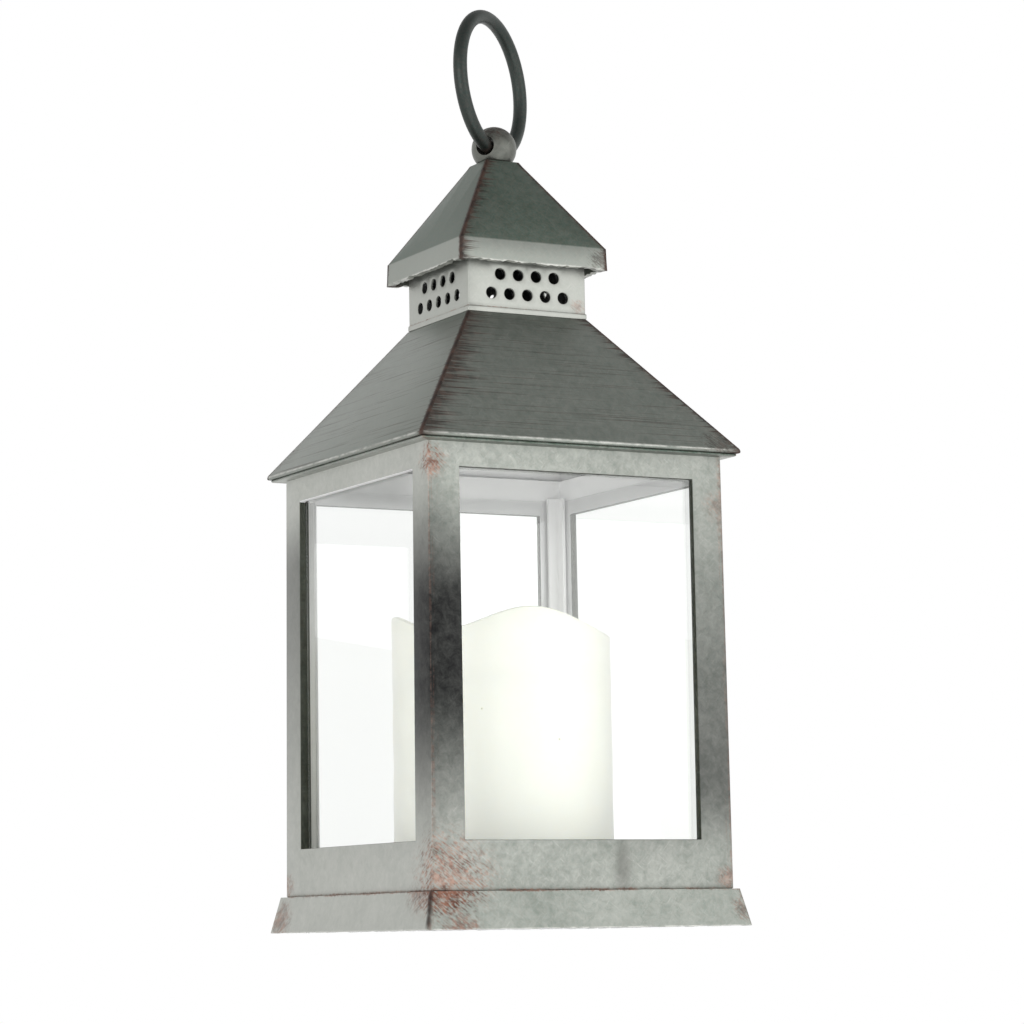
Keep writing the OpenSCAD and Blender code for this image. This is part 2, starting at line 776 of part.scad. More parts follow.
// The cap: a hollow pyramid with a skirt, and ribs inside that centre it on the collar
module cap_roof() {
    rib_from = collar_w / 2 + spigot_play;
    rib_z = cap_z + 1.4;
    color(paint) {
        difference() {
            union() {
                taper(cap_w, cap_z, cap_foot_w, cap_slope_z);
                taper(cap_foot_w, cap_slope_z - eps, cap_top_w, cap_top);
            }
            block(cap_inner_w, cap_z - cut, cap_inner_z);
            hollow_taper(cap_inner_w, cap_inner_z - eps, cap_top_w, cap_top - cap_tv);
            upright(shank_d + 2 * shank_play, cap_top - cap_tv - cut, cap_top + cut);
        }
        four_sides() for (x = [-cap_rib_x, cap_rib_x])
            translate([x - cap_rib_t / 2, rib_from, rib_z])
                cube([cap_rib_t, cap_inner_w / 2 - rib_from + eps, cap_inner_z - 2 * seam - rib_z]);
    }
}

// The ball on top: a cut sphere with a shank through the cap, a hole for the ring and one for its screw
module finial_ball() {
    color(paint) difference() {
        union() {
            intersection() {
                translate([0, 0, ball_z]) sphere(r = ball_r);
                upright(ball_d + cut, ball_foot, ball_z + ball_d);
            }
            upright(shank_d, shank_bottom, ball_foot + cut);
        }
        translate([0, 0, ball_z]) rotate([0, 0, -ring_turn]) rotate([90, 0, 0])
            cylinder(r = ring_hole_r, h = ball_d + 2 * cut, center = true);
        upright(screw_d, shank_bottom - cut, pilot_top);
    }
}

module finial_washer() {
    color(steel) difference() {
        upright(washer_d, shank_bottom - washer_t, shank_bottom);
        upright(screw_d + 2 * screw_play, shank_bottom - washer_t - cut, shank_bottom + cut);
    }
}

// The screw that holds the ball from inside the cap
module finial_screw() {
    head_top = shank_bottom - washer_t;
    pan_h = 1.6;
    color(steel) difference() {
        union() {
            upright(screw_head_d, head_top - pan_h, head_top);
            upright(screw_d, head_top - eps, pilot_top);
        }
        cross_slot(head_top - pan_h);
    }
}

// The hanging ring, whose two ends meet inside the ball
module hanging_ring() {
    split_angle = ring_split / ring_r * 180 / PI;
    color(paint) translate([0, 0, ball_z]) rotate([0, 0, -ring_turn]) rotate([0, -ring_lean, 0])
        translate([0, 0, ring_r - ring_low]) rotate([0, 90, 0]) rotate([0, 0, split_angle / 2])
            rotate_extrude(angle = 360 - split_angle) translate([ring_r, 0]) circle(r = bar_r, $fn = 48);
}

base_tray();
bottom_plate();
battery_door();
battery_cells();
contact_springs();
contact_plates();
switch_body();
switch_slider();
base_screws();
body_frame();
front_pane();
rear_pane();
left_pane();
right_pane();
candle_shell();
candle_disc();
lamp();
lamp_board();
lamp_stalk();
lamp_leads();
main_roof();
vent_collar();
cap_roof();
finial_ball();
finial_washer();
finial_screw();
hanging_ring();
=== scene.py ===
"""Square candle lantern with a pyramid roof, a vented collar, a small cap and a hanging ring."""

from math import atan2, cos, pi, radians, sin, sqrt, tau

import bmesh
import bpy
from mathutils import Matrix, Quaternion, Vector, noise


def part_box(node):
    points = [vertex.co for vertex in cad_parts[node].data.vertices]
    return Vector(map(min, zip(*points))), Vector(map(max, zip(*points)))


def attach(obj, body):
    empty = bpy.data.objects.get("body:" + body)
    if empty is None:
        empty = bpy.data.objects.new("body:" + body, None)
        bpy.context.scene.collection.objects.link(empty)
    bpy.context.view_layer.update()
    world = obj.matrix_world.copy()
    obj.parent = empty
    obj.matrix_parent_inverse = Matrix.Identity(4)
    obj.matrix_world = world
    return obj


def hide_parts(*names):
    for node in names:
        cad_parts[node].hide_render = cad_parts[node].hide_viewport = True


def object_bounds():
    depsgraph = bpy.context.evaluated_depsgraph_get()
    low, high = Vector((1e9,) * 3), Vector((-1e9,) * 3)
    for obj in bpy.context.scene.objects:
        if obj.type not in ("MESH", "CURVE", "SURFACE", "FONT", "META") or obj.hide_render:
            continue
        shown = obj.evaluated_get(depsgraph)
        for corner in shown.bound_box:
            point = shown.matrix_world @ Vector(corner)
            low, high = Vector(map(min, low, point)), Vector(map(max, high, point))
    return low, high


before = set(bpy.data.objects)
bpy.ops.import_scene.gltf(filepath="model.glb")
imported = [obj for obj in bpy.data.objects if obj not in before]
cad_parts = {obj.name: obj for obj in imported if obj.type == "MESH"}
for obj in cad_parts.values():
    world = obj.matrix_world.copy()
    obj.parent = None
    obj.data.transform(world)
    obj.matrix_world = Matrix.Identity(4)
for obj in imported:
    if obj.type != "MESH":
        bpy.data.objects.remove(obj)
cad_low, cad_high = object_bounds()

MM = 0.001
UP = Vector((0, 0, 1))

# The camera: where it stands in metres, where it looks and how far it leans in degrees
CAMERA_PLACE = (-0.4751, -0.8926, -0.0020)
CAMERA_AZIMUTH = 28.233
CAMERA_ELEVATION = 7.094
CAMERA_ROLL = -0.935
CAMERA_LENS = 119.9

# Walls and small sizes of the mouldings, in millimetres
SKIRT_WALL = 2
SKIRT_FLARE = 2.4
SKIRT_SPREAD = 0.4
LEDGE_T = 1.8
LEAD_HOLE = 2.3
BODY_WALL = 2.85
BODY_DRAFT = 0.65
POST_W = 10.55
PANE_LAP = 4.5
PANE_PLAY = 0.1
LIP_T = 1.2
LIP_REACH = 2.8
CORNER_BLOCK = 2.9
HOLDER_RISE = 1
BOSS_D = 7.5
BOSS_H = 8
SCREW_INSET = 6.9
FLANGE_T = 0.8
EAVE_T = 1.1
ROOF_WALL = 1.8
COLLAR_WALL = 1.8
SPIGOT_PLAY = 0.2
FOOT_H = 1.6
FOOT_PROUD = 0.3
VENT_D = 3.5
VENT_PITCH = 6
VENT_LOW = 5.9
VENT_RISE = 5.8
VENT_COUNT = 5
VENT_GRID = 6
CAP_WALL = 1.6
CAP_DRAFT = 0.3
CAP_SKIRT_H = 6.7
CAP_TOP_W = 11
CAP_RIB_T = 1.4
CAP_RIB_X = 10
CAP_RIB_UP = 1.4
CAP_RIB_H = 4.6
CAP_RIB_SUNK = 0.2
SHANK_HOLE = 5.1
CANDLE_WALL = 2.2
CANDLE_H = 72.4
CANDLE_FOOT = 0.6
DISC_H = 55
DISC_SEAT = 1.4
RING_BAR = 4.2
RING_TURN = 53.6
RING_LEAN = 2.2
CELL_D = 10.5
CELL_L = 44.5

# Waves of the melted rim: number of lobes, height in millimetres and turn in degrees
RIM_WAVES = [(1, 1.45, 202), (3, 2.45, 80), (4, 0.6, -48), (5, 0.5, 163)]

# The numbers of the materials on a painted moulding; on the collar the bare inside is dark plastic as
# painted shade
PAINTED, BARE, REVEAL = range(3)


# ---------------------------------------------------------------- shader maths


class Value:
    """A shader socket that plain operators work on."""

    def __init__(self, nodes, socket):
        self.nodes = nodes
        self.socket = socket

    def math(self, operation, *others):
        return self.nodes.math(operation, self, *others)

    def __add__(self, other):
        return self.math("ADD", other)

    def __radd__(self, other):
        return self.math("ADD", other)

    def __sub__(self, other):
        return self.math("SUBTRACT", other)

    def __rsub__(self, other):
        return self.nodes.math("SUBTRACT", other, self)

    def __mul__(self, other):
        return self.math("MULTIPLY", other)

    def __rmul__(self, other):
        return self.math("MULTIPLY", other)

    def __truediv__(self, other):
        return self.math("DIVIDE", other)

    def __abs__(self):
        return self.math("ABSOLUTE")


class Nodes:
    """The node tree of one material or world."""

    def __init__(self, owner):
        owner.use_nodes = True
        self.tree = owner.node_tree
        self.tree.nodes.clear()

    def node(self, kind, settings=None, sockets=None, output=0):
        """Adds a node: its settings first, then the values or links of its sockets."""
        made = self.tree.nodes.new(kind)
        for name, setting in (settings or {}).items():
            setattr(made, name, setting)
        for name, value in (sockets or {}).items():
            self.feed(made.inputs[name], value)
        return Value(self, made.outputs[output])

    def feed(self, socket, value):
        """Links a value to a socket, or sets the socket to a number or a colour."""
        if isinstance(value, Value):
            self.tree.links.new(value.socket, socket)
        else:
            socket.default_value = value

    def math(self, operation, *values):
        return self.node("ShaderNodeMath", {"operation": operation}, dict(enumerate(values)))

    def smooth(self, value, start, end):
        """Rises smoothly from 0 at start to 1 at end, or falls if end lies below start."""
        sockets = {"Value": value, "From Min": start, "From Max": end}
        return self.node("ShaderNodeMapRange", {"interpolation_type": "SMOOTHSTEP"}, sockets)

    def blend(self, factor, first, second):
        """Mixes two colours."""
        node = self.node("ShaderNodeMix", {"data_type": "RGBA", "clamp_factor": True}).socket.node
        for name, value in {"Factor": factor, "A": first, "B": second}.items():
            self.feed(next(s for s in node.inputs if s.name == name and s.enabled), value)
        return Value(self, next(s for s in node.outputs if s.enabled))

    def scaled(self, vector, level):
        """A vector made longer or shorter by a value, or a colour made brighter or darker."""
        sockets = {0: vector, "Scale": level}
        return self.node("ShaderNodeVectorMath", {"operation": "SCALE"}, sockets)

    def vector(self, x, y, z):
        return self.node("ShaderNodeCombineXYZ", sockets={0: x, 1: y, 2: z})

    def length(self, vector):
        return self.node("ShaderNodeVectorMath", {"operation": "LENGTH"}, {0: vector}, "Value")

    def place(self):
        """The place on the piece in millimetres, as a vector and as its three parts."""
        vector = self.scaled(self.node("ShaderNodeTexCoord", output="Object"), 1 / MM)
        parts = self.node("ShaderNodeSeparateXYZ", sockets={0: vector})
        return vector, *(Value(self, parts.socket.node.outputs[i]) for i in range(3))

    def grain(self, vector, size, detail=3, roughness=0.55, distortion=0):
        """Cloudy noise with features of about that size in millimetres."""
        sockets = {
            "Vector": vector,
            "Scale": 1 / size,
            "Detail": detail,
            "Roughness": roughness,
            "Distortion": distortion,
        }
        return self.node("ShaderNodeTexNoise", sockets=sockets)

    def cells(self, vector, size):
        """Distance to the nearest of scattered points, in parts of their rough spacing."""
        sockets = {"Vector": vector, "Scale": 1 / size}
        return self.node("ShaderNodeTexVoronoi", sockets=sockets, output="Distance")

    def bump(self, height, depth, strength=1.0):
        """A bump of that depth in millimetres."""
        sockets = {"Height": height, "Distance": depth * MM, "Strength": strength}
        return self.node("ShaderNodeBump", sockets=sockets)

    def output(self, kind, surface):
        end = self.tree.nodes.new(kind)
        self.tree.links.new(surface.socket, end.inputs["Surface"])


def shade(red, green, blue):
    """A colour as it is seen, in steps of 0 to 255, as the shader's linear colour."""
    linear = (((c / 255 + 0.055) / 1.055) ** 2.4 if c > 10 else c / 3294 for c in (red, green, blue))
    return (*linear, 1)


def finish(name, recipe, **options):
    """A material whose recipe returns the sockets of its main shader."""
    material = bpy.data.materials.new(name)
    nodes = Nodes(material)
    surface = nodes.node("ShaderNodeBsdfPrincipled", sockets=recipe(nodes, **options))
    nodes.output("ShaderNodeOutputMaterial", surface)
    return material


# ---------------------------------------------------------------- finishes

GREY_GREEN = (shade(71, 82, 70), shade(59, 80, 69))
RING_COAT = (shade(64, 67, 64), shade(56, 64, 61))
OLIVE_BLACK = (shade(60, 62, 54), shade(52, 57, 49))
SILVER_RUB = shade(193, 194, 188)
UMBER = (shade(36, 23, 20), shade(78, 54, 45))
COPPER = (shade(112, 78, 66), shade(182, 148, 132))
RUSSET = (shade(84, 50, 40), shade(154, 110, 91))
# Painted shade: the near black of the dark zones on the posts and deep in the vent holes
PAINTED_SHADE = shade(22, 22, 23)
BARE_PLASTIC = shade(250, 250, 250)


class Spot:
    """Where a point lies on a square moulding, in millimetres."""

    def __init__(self, nodes):
        self.nodes = nodes
        self.vector, self.x, self.y, self.z = nodes.place()
        x, y = self.x, self.y
        # 1 on the front and rear faces, 0 on the left and right ones
        self.faces_front = nodes.math("GREATER_THAN", abs(y), abs(x))
        self.along = x * self.faces_front + y * (1 - self.faces_front)
        self.hand = nodes.math("SIGN", self.along)
        across = y * self.faces_front + x * (1 - self.faces_front)
        # A number of its own for each of the four sides, so that no two have the same strokes
        self.side = nodes.math("SIGN", across) * (3.7 + 4.6 * self.faces_front)
        self.corner = abs(abs(x) - abs(y))

    def away(self, x, y, z, radius, upwards):
        """Distance from a place in parts of a radius, with the height counted more or less."""
        rise = (self.z - z) * upwards
        return self.nodes.length(
            self.nodes.vector((self.x - x) / radius, (self.y - y) / radius, rise / radius)
        )

    def streaks(self, length, width, turn, seed=0.0, detail=4):
        """Noise drawn out to streaks that run at an angle to the level."""
        nodes = self.nodes
        run = self.along * cos(radians(turn)) + self.z * sin(radians(turn))
        rise = self.z * cos(radians(turn)) - self.along * sin(radians(turn))
        vector = nodes.vector(run / length, rise / width, self.side + seed)
        return nodes.grain(vector, 1, detail, 0.6)


def patina(
    nodes, rub, wear, coat=GREY_GREEN, mottling=1.0, sides=0.02, upper=None, skin=None, smoky=False,
    hips=0, corners=0, lines=0, edges=(), bright=(), scuffs=(), smudges=()
):
    """Antique paint: a dark green-grey coat rubbed with silver grey, worn brown where hands reach.

    rub is how much silver is rubbed on, sides how much lighter the left and right faces are painted as
    painted light, upper a height with the rub above it, and mottling how cloudy the rub is. coat and
    wear are the pairs of base colours and of browns, and skin the half width inside which the plastic
    is bare and darkened as painted shade. The posts can take painted shade in soft dark zones.

    hips is the reach of the brush strokes from the hips, corners the width of the streaks down the
    corners, and lines the amount of thin level lines. edges and bright are lists of (height, width) of
    worn level edges and of painted highlights along level edges, scuffs and smudges lists of
    (x, y, z, radius, strength) of worn and of dark places.
    """
    spot = Spot(nodes)
    if upper:
        rub = rub + (upper[1] - rub) * nodes.smooth(spot.z, upper[0] - 0.3, upper[0] + 0.3)
    mottle = nodes.grain(spot.vector, 2.8, 7, 0.76, 0.4)
    cloud = nodes.grain(spot.vector, 26, 3)
    speckle = nodes.grain(spot.vector, 0.8, 2)
    fibre = nodes.math("MAXIMUM", spot.streaks(5, 0.4, 48), spot.streaks(4, 0.35, -40, 5.0))
    uneven = mottling * (0.65 + 0.35 * spot.faces_front)
    # The left and right faces are painted lighter: painted light
    silver = rub + sides * (1 - spot.faces_front)
    silver = silver + uneven * (0.36 * (cloud - 0.5) + 0.85 * (mottle - 0.5))
    silver = silver + 0.28 * uneven * nodes.smooth(fibre, 0.58, 0.82)
    # Painted highlights along level edges
    for height, width in bright:
        reach = abs(spot.z - height) - width * (mottle - 0.5)
        highlight_band = nodes.smooth(reach, width, 0) * nodes.smooth(spot.streaks(4, 2, 0, 6.0), 0.3, 0.6)
        silver = silver + 0.6 * highlight_band
    base = nodes.blend(nodes.smooth(speckle, 0.4, 0.62), *coat)
    colour = nodes.blend(silver, base, SILVER_RUB)
    brown = nodes.blend(nodes.smooth(mottle, 0.36, 0.64), *wear)
    # Painted shade on the posts, laid over the paint and over the brown wear
    if smoky:
        shadow = post_shade(nodes, spot, cloud) * (1.14 - 0.3 * mottle)
        colour = nodes.blend(shadow, colour, PAINTED_SHADE)
        brown = nodes.blend(0.75 * shadow, brown, UMBER[0])

    worn = wear_mask(nodes, spot, hips, corners, edges, scuffs, lines)
    colour = nodes.blend(worn, colour, brown)
    for x, y, z, radius, strength in smudges:
        dark = strength * nodes.smooth(spot.away(x, y, z, radius, 0.35), 1.0, 0.2)
        colour = nodes.blend(dark, colour, UMBER[0])
    # Inside the skin the colour darkens to painted shade, deep in the vent holes
    if skin:
        deep = nodes.smooth(nodes.math("MAXIMUM", abs(spot.x), abs(spot.y)), skin, skin - 0.5)
        colour = nodes.blend(deep, colour, PAINTED_SHADE)
    height = mottle * 0.6 + fibre * 0.3 - worn * 0.3
    return {
        "Base Color": colour,
        "Metallic": 0.82 - 0.4 * worn,
        "Roughness": 0.38 + 0.3 * (mottle - 0.4) + 0.15 * worn,
        "Normal": nodes.bump(height, 0.09, 0.5),
        "Specular IOR Level": 0.4,
    }


def wear_mask(nodes, spot, hips, corners, edges, scuffs, lines):
    """How much of the brown shows, from 0 to 1."""
    fine = nodes.grain(spot.vector, 1.1, 5, 0.75)
    worn = nodes.smooth(fine, 0.68, 0.8) * 0.5

    def add(more):
        nonlocal worn
        worn = nodes.math("MAXIMUM", worn, more)

    if hips:
        add(comb(nodes, spot, hips, fine))
    if lines:
        add(lines * nodes.smooth(spot.streaks(45, 0.35, 0, 9.0, 3), 0.56, 0.68))
    if corners:
        down = spot.streaks(0.8, 30, 0, 2.0, 2)
        reach = corners * (0.5 + 3.5 * nodes.smooth(down, 0.4, 0.75)) * (0.25 + 0.75 * spot.faces_front)
        edge = nodes.smooth(spot.corner, reach, reach * 0.2) * nodes.smooth(fine, 0.38, 0.58)
        add(edge * 0.45)
    for height, width in edges:
        reach = abs(spot.z - height) - 6 * width * (fine - 0.5)
        add(nodes.smooth(reach, width, 0) * nodes.smooth(spot.streaks(9, 3, 0, 4.0), 0.36, 0.6) * 0.8)
    for x, y, z, radius, strength in scuffs:
        away = spot.away(x, y, z, radius, 1.3)
        rubbed = spot.streaks(2.4, 0.3, -38, x, 5) * 0.6 + fine * 0.4
        core = nodes.smooth(rubbed - 0.19 * away, 0.36, 0.47) * nodes.smooth(away, 1.0, 0.5)
        add(strength * core)
    return worn


def comb(nodes, spot, reach, fine):
    """Level brush strokes that run out from the hips like the teeth of a comb."""
    strong = 0.12 + spot.faces_front * (0.25 + 0.63 * nodes.smooth(spot.hand, 0.5, -0.5))
    seed = spot.side + spot.hand * 1.9
    teeth = nodes.grain(nodes.vector(seed, spot.z * 1.3, spot.along * 0.02), 1, 3, 0.85)
    length = 1.2 + reach * strong * nodes.smooth(teeth, 0.4, 0.74)
    stroke = nodes.smooth(spot.corner, length, length * 0.25)
    hip = nodes.smooth(spot.corner - 2 * (fine - 0.45), 1.5, 0.5)
    veil = 0.5 * strong * nodes.smooth(spot.corner, reach * 0.45, 0)
    return nodes.math("MAXIMUM", nodes.math("MAXIMUM", stroke * 0.85, hip * 0.95), veil)


def post_shade(nodes, spot, cloud):
    """Painted shade: the soft dark zone on each post, highest on the front left one and low on the front
    right one.
    """
    right = nodes.smooth(spot.x, -20, 20)
    back = nodes.smooth(spot.y, -20, 20)

    def by_post(front_left, front_right, back_left, back_right):
        front = front_left + (front_right - front_left) * right
        rear = back_left + (back_right - back_left) * right
        return front + (rear - front) * back

    height = spot.z + 10 * (cloud - 0.5)
    upper = nodes.smooth(height, by_post(129, 156, 131, 122), by_post(92, 42, 110, 80))
    lower = nodes.smooth(height, by_post(14, 12, 8, 34), by_post(69, 43, 114, 70))
    return upper * lower * by_post(0.96, 0.72, 0.57, 0.6)


def plastic(nodes, colour, roughness=0.45, mist=None):
    """Plain moulded plastic with faint clouds and a fine grain.

    The last argument is a height above which the left half is darkened towards grey-green as painted
    shade.
    """
    vector, x, _, z = nodes.place()
    cloud = nodes.grain(vector, 6, 4)
    grain = nodes.grain(vector, 0.35, 2)
    base = nodes.scaled(colour[:3], 1 + 0.12 * (cloud - 0.5))
    if mist:
        # Painted shade towards grey-green on the left half near the top
        spray_and_shade = nodes.smooth(z, mist, mist + 6) * nodes.smooth(x, 2, -14) * nodes.smooth(x, -40, -26)
        base = nodes.blend(0.5 * spray_and_shade * (0.6 + 0.8 * cloud), base, GREY_GREEN[0])
    return {
        "Base Color": base,
        "Roughness": roughness + 0.2 * (cloud - 0.5),
        "Normal": nodes.bump(grain, 0.02, 0.5),
    }


def wax(nodes):
    """Ivory wax with a few small dark specks and faint runs."""
    vector, x, y, z = nodes.place()
    cloud = nodes.grain(vector, 18, 4)
    speck = nodes.smooth(nodes.cells(vector, 9), 0.05, 0.03)
    run = nodes.grain(nodes.vector(x / 5, y / 5, z / 40), 1, 3)
    colour = nodes.blend(cloud, shade(251, 251, 237), shade(249, 249, 230))
    colour = nodes.blend(0.35 * nodes.smooth(z, 84, 93), colour, shade(226, 232, 212))
    colour = nodes.blend(0.5 * speck, colour, shade(120, 110, 84))
    return {
        "Base Color": colour,
        "Roughness": 0.42 + 0.2 * (cloud - 0.5),
        "Subsurface Weight": 0.5,
        "Subsurface Radius": (0.008, 0.007, 0.006),
        "Subsurface Scale": 1.0,
        "Normal": nodes.bump(nodes.grain(vector, 3, 3) + run, 0.08, 0.4),
    }


def steel(nodes, brushed=0.0):
    """Plated steel with faint clouds, fine scratches and a few dull spots."""
    vector, x, y, z = nodes.place()
    cloud = nodes.grain(vector, 3, 4)
    scratch = nodes.grain(nodes.vector(x * 6, y * 0.4, z * 6), 1, 4, 0.7)
    dull = nodes.smooth(nodes.grain(vector, 0.9, 4, 0.7), 0.6, 0.72)
    colour = nodes.blend(cloud, shade(200, 201, 203), shade(172, 174, 178))
    return {
        "Base Color": nodes.blend(0.5 * dull, colour, shade(128, 126, 122)),
        "Metallic": 1.0,
        "Roughness": 0.2 + 0.2 * (cloud - 0.3) + 0.25 * dull,
        "Normal": nodes.bump(scratch, 0.01 + 0.03 * brushed, 0.4),
    }


def moulded_black(nodes):
    """Black plastic with a fine spark grain and greyish rub marks."""
    vector, x, y, z = nodes.place()
    spark = nodes.cells(vector, 0.5)
    cloud = nodes.grain(vector, 12, 4)
    scratch = nodes.grain(nodes.vector(x * 0.3, y * 5, z), 1, 4, 0.7)
    rubbed = nodes.smooth(scratch, 0.58, 0.72) * nodes.smooth(cloud, 0.45, 0.6)
    colour = nodes.blend(cloud, shade(38, 38, 40), shade(50, 50, 52))
    return {
        "Base Color": nodes.blend(0.5 * rubbed, colour, shade(96, 96, 98)),
        "Roughness": 0.5 + 0.25 * (cloud - 0.5) - 0.1 * rubbed,
        "Normal": nodes.bump(spark, 0.03, 0.5),
    }


def cell_wrap(nodes, centre, pitch, half_length, shift):
    """Shrink-wrapped cells with bare metal ends and a paler band near the plus end.

    Every other cell lies the other way round, shifted to the other side.
    """
    vector, x, y, _ = nodes.place()
    row = nodes.math("ROUND", (y - centre.y) / pitch)
    odd = abs(row)
    turn = 1 - 2 * odd
    along = (x - centre.x) * turn - shift
    metal = nodes.smooth(abs(along), half_length - 0.8, half_length - 0.7)
    band = nodes.smooth(along, half_length - 9.0, half_length - 8.8)
    scuff = nodes.smooth(nodes.grain(vector, 1.2, 5, 0.7), 0.58, 0.7)
    wrap = nodes.blend(band, shade(38, 74, 60), shade(196, 170, 96))
    wrap = nodes.blend(0.4 * scuff, wrap, shade(190, 190, 184))
    return {
        "Base Color": nodes.blend(metal, wrap, shade(196, 196, 198)),
        "Metallic": metal,
        "Roughness": 0.26 + 0.3 * scuff,
    }


def lamp_dome(nodes):
    """Amber diffused epoxy, deeper towards its foot."""
    vector, *_, z = nodes.place()
    foot_z = millimetres("lamp")[0].z
    foot = nodes.smooth(z, foot_z + 3, foot_z)
    cloud = nodes.grain(vector, 1.5, 3)
    colour = nodes.blend(cloud, shade(250, 196, 96), shade(242, 178, 74))
    return {
        "Base Color": nodes.blend(0.6 * foot, colour, shade(204, 124, 40)),
        "Roughness": 0.16 + 0.2 * (cloud - 0.4),
        "Transmission Weight": 0.45,
        "IOR": 1.54,
    }


def etched_board(nodes):
    """A small green board with two rings of copper tracks under the mask."""
    _, x, y, z = nodes.place()
    edge_r = millimetres("lamp_board")[1].x
    radius = nodes.length(nodes.vector(x, y, 0))
    weave = nodes.grain(nodes.vector(x * 2, y * 2, z), 1, 2)
    tracks = nodes.math("MAXIMUM", *(nodes.smooth(abs(radius - r), 0.35, 0.28) for r in (3.6, 4.9)))
    edge = nodes.smooth(radius, edge_r - 0.1, edge_r)
    colour = nodes.blend(tracks, shade(30, 84, 52), shade(58, 122, 78))
    return {
        "Base Color": nodes.blend(edge, colour, shade(168, 160, 112)),
        "Roughness": 0.3 + 0.2 * (weave - 0.4),
        "Normal": nodes.bump(tracks, 0.03, 0.6),
    }


def twin_leads(nodes):
    """Two insulated leads, red on one side and black on the other, with a little dust."""
    vector, x, *_ = nodes.place()
    dust = nodes.smooth(nodes.grain(vector, 0.7, 4, 0.7), 0.55, 0.7)
    jacket = nodes.blend(nodes.smooth(x, -0.05, 0.05), shade(34, 34, 36), shade(168, 36, 32))
    return {
        "Base Color": nodes.blend(0.3 * dust, jacket, shade(176, 170, 160)),
        "Roughness": 0.38 + 0.3 * dust,
    }


def switch_shell(nodes):
    """A plated switch can with a brown insulator at its top."""
    sockets = steel(nodes)
    *_, z = nodes.place()
    top_z = millimetres("switch_body")[1].z
    top = nodes.smooth(z, top_z - 1.2, top_z - 1.1)
    sockets["Base Color"] = nodes.blend(top, sockets["Base Color"], shade(104, 74, 52))
    sockets["Metallic"] = 1 - top
    return sockets


def clear_pane():
    """Clear plastic that lets light through to the inside."""
    material = bpy.data.materials.new("clear_pane")
    nodes = Nodes(material)
    sockets = {
        "Base Color": shade(254, 255, 254),
        "Roughness": 0.0,
        "IOR": 1.59,
        "Transmission Weight": 1.0,
    }
    glass = nodes.node("ShaderNodeBsdfPrincipled", sockets=sockets)
    clear = nodes.node("ShaderNodeBsdfTransparent")
    shadow = nodes.node("ShaderNodeLightPath", output="Is Shadow Ray")
    mixed = nodes.node("ShaderNodeMixShader", sockets={0: shadow, 1: glass, 2: clear})
    nodes.output("ShaderNodeOutputMaterial", mixed)
    return material


# ---------------------------------------------------------------- mesh tools


def mitred_side(outline):
    """One side of a square moulding: the outline of (half width, height) points, mitred at both ends."""
    bm = bmesh.new()
    corner = [bm.verts.new((-half * MM, -half * MM, z * MM)) for half, z in outline]
    edges = [bm.edges.new(pair) for pair in zip(corner, corner[1:] + corner[:1])]
    grown = bmesh.ops.extrude_edge_only(bm, edges=edges)["geom"]
    for vert in grown:
        if isinstance(vert, bmesh.types.BMVert):
            vert.co.x = -vert.co.x
    return bm


def all_of(bm):
    return bm.verts[:] + bm.edges[:] + bm.faces[:]


def middle_of(face):
    """The middle of a face in millimetres."""
    return face.calc_center_median() / MM


def cut(bm, place, direction):
    """Cuts every face along a plane and keeps both halves."""
    bmesh.ops.bisect_plane(bm, geom=all_of(bm), plane_co=place, plane_no=direction, dist=1e-7)


def close_seams(bm):
    bmesh.ops.remove_doubles(bm, verts=bm.verts[:], dist=0.01 * MM)
    bmesh.ops.recalc_face_normals(bm, faces=bm.faces[:])


def repeat_on_four_sides(bm):
    bmesh.ops.spin(
        bm, geom=all_of(bm), cent=(0, 0, 0), axis=UP, angle=1.5 * pi, steps=3, use_duplicate=True
    )


def soften(bm, width, segments=3, sharper_than=25, among=None):
    """Rounds the sharp edges, or those of a few."""
    limit = radians(sharper_than)
    sharp = [e for e in among or bm.edges if e.is_manifold and e.calc_face_angle(0) > limit]
    bmesh.ops.bevel(
        bm, geom=sharp, offset=width * MM, offset_type="OFFSET", segments=segments,
        profile=0.5, affect="EDGES", clamp_overlap=False, material=-1
    )


def close_square(bm, corner_width):
    """Repeats a side on four sides and rounds the corners between them, inside the same square."""
    repeat_on_four_sides(bm)
    close_seams(bm)
    half = max(v.co.x for v in bm.verts)
    corners = [e for e in bm.edges if all(abs(abs(v.co.x) - abs(v.co.y)) < 0.01 * MM for v in e.verts)]
    soften(bm, corner_width, sharper_than=12, among=corners)
    for vert in bm.verts:
        vert.co.x = max(-half, min(half, vert.co.x))
        vert.co.y = max(-half, min(half, vert.co.y))
    close_seams(bm)


def roughen_edge(bm, z, depth, pitch, half):
    """Makes a low moulded edge ragged, with tiny nicks that all go upwards."""
    for step in range(-int(half / pitch), int(half / pitch) + 1):
        cut(bm, (step * pitch * MM, 0, 0), (1, 0, 0))
    for vert in bm.verts:
        low = vert.co.z / MM < z + 0.45
        off_corner = abs(abs(vert.co.x) - abs(vert.co.y)) > 0.3 * MM
        if low and off_corner:
            along = vert.co.x / MM
            nick = 0.6 * noise.noise(Vector((along * 0.9, 0, z)))
            nick += 0.6 * noise.noise(Vector((along * 0.23, 7, z)))
            vert.co.z += depth * max(0, 0.35 + nick) * MM


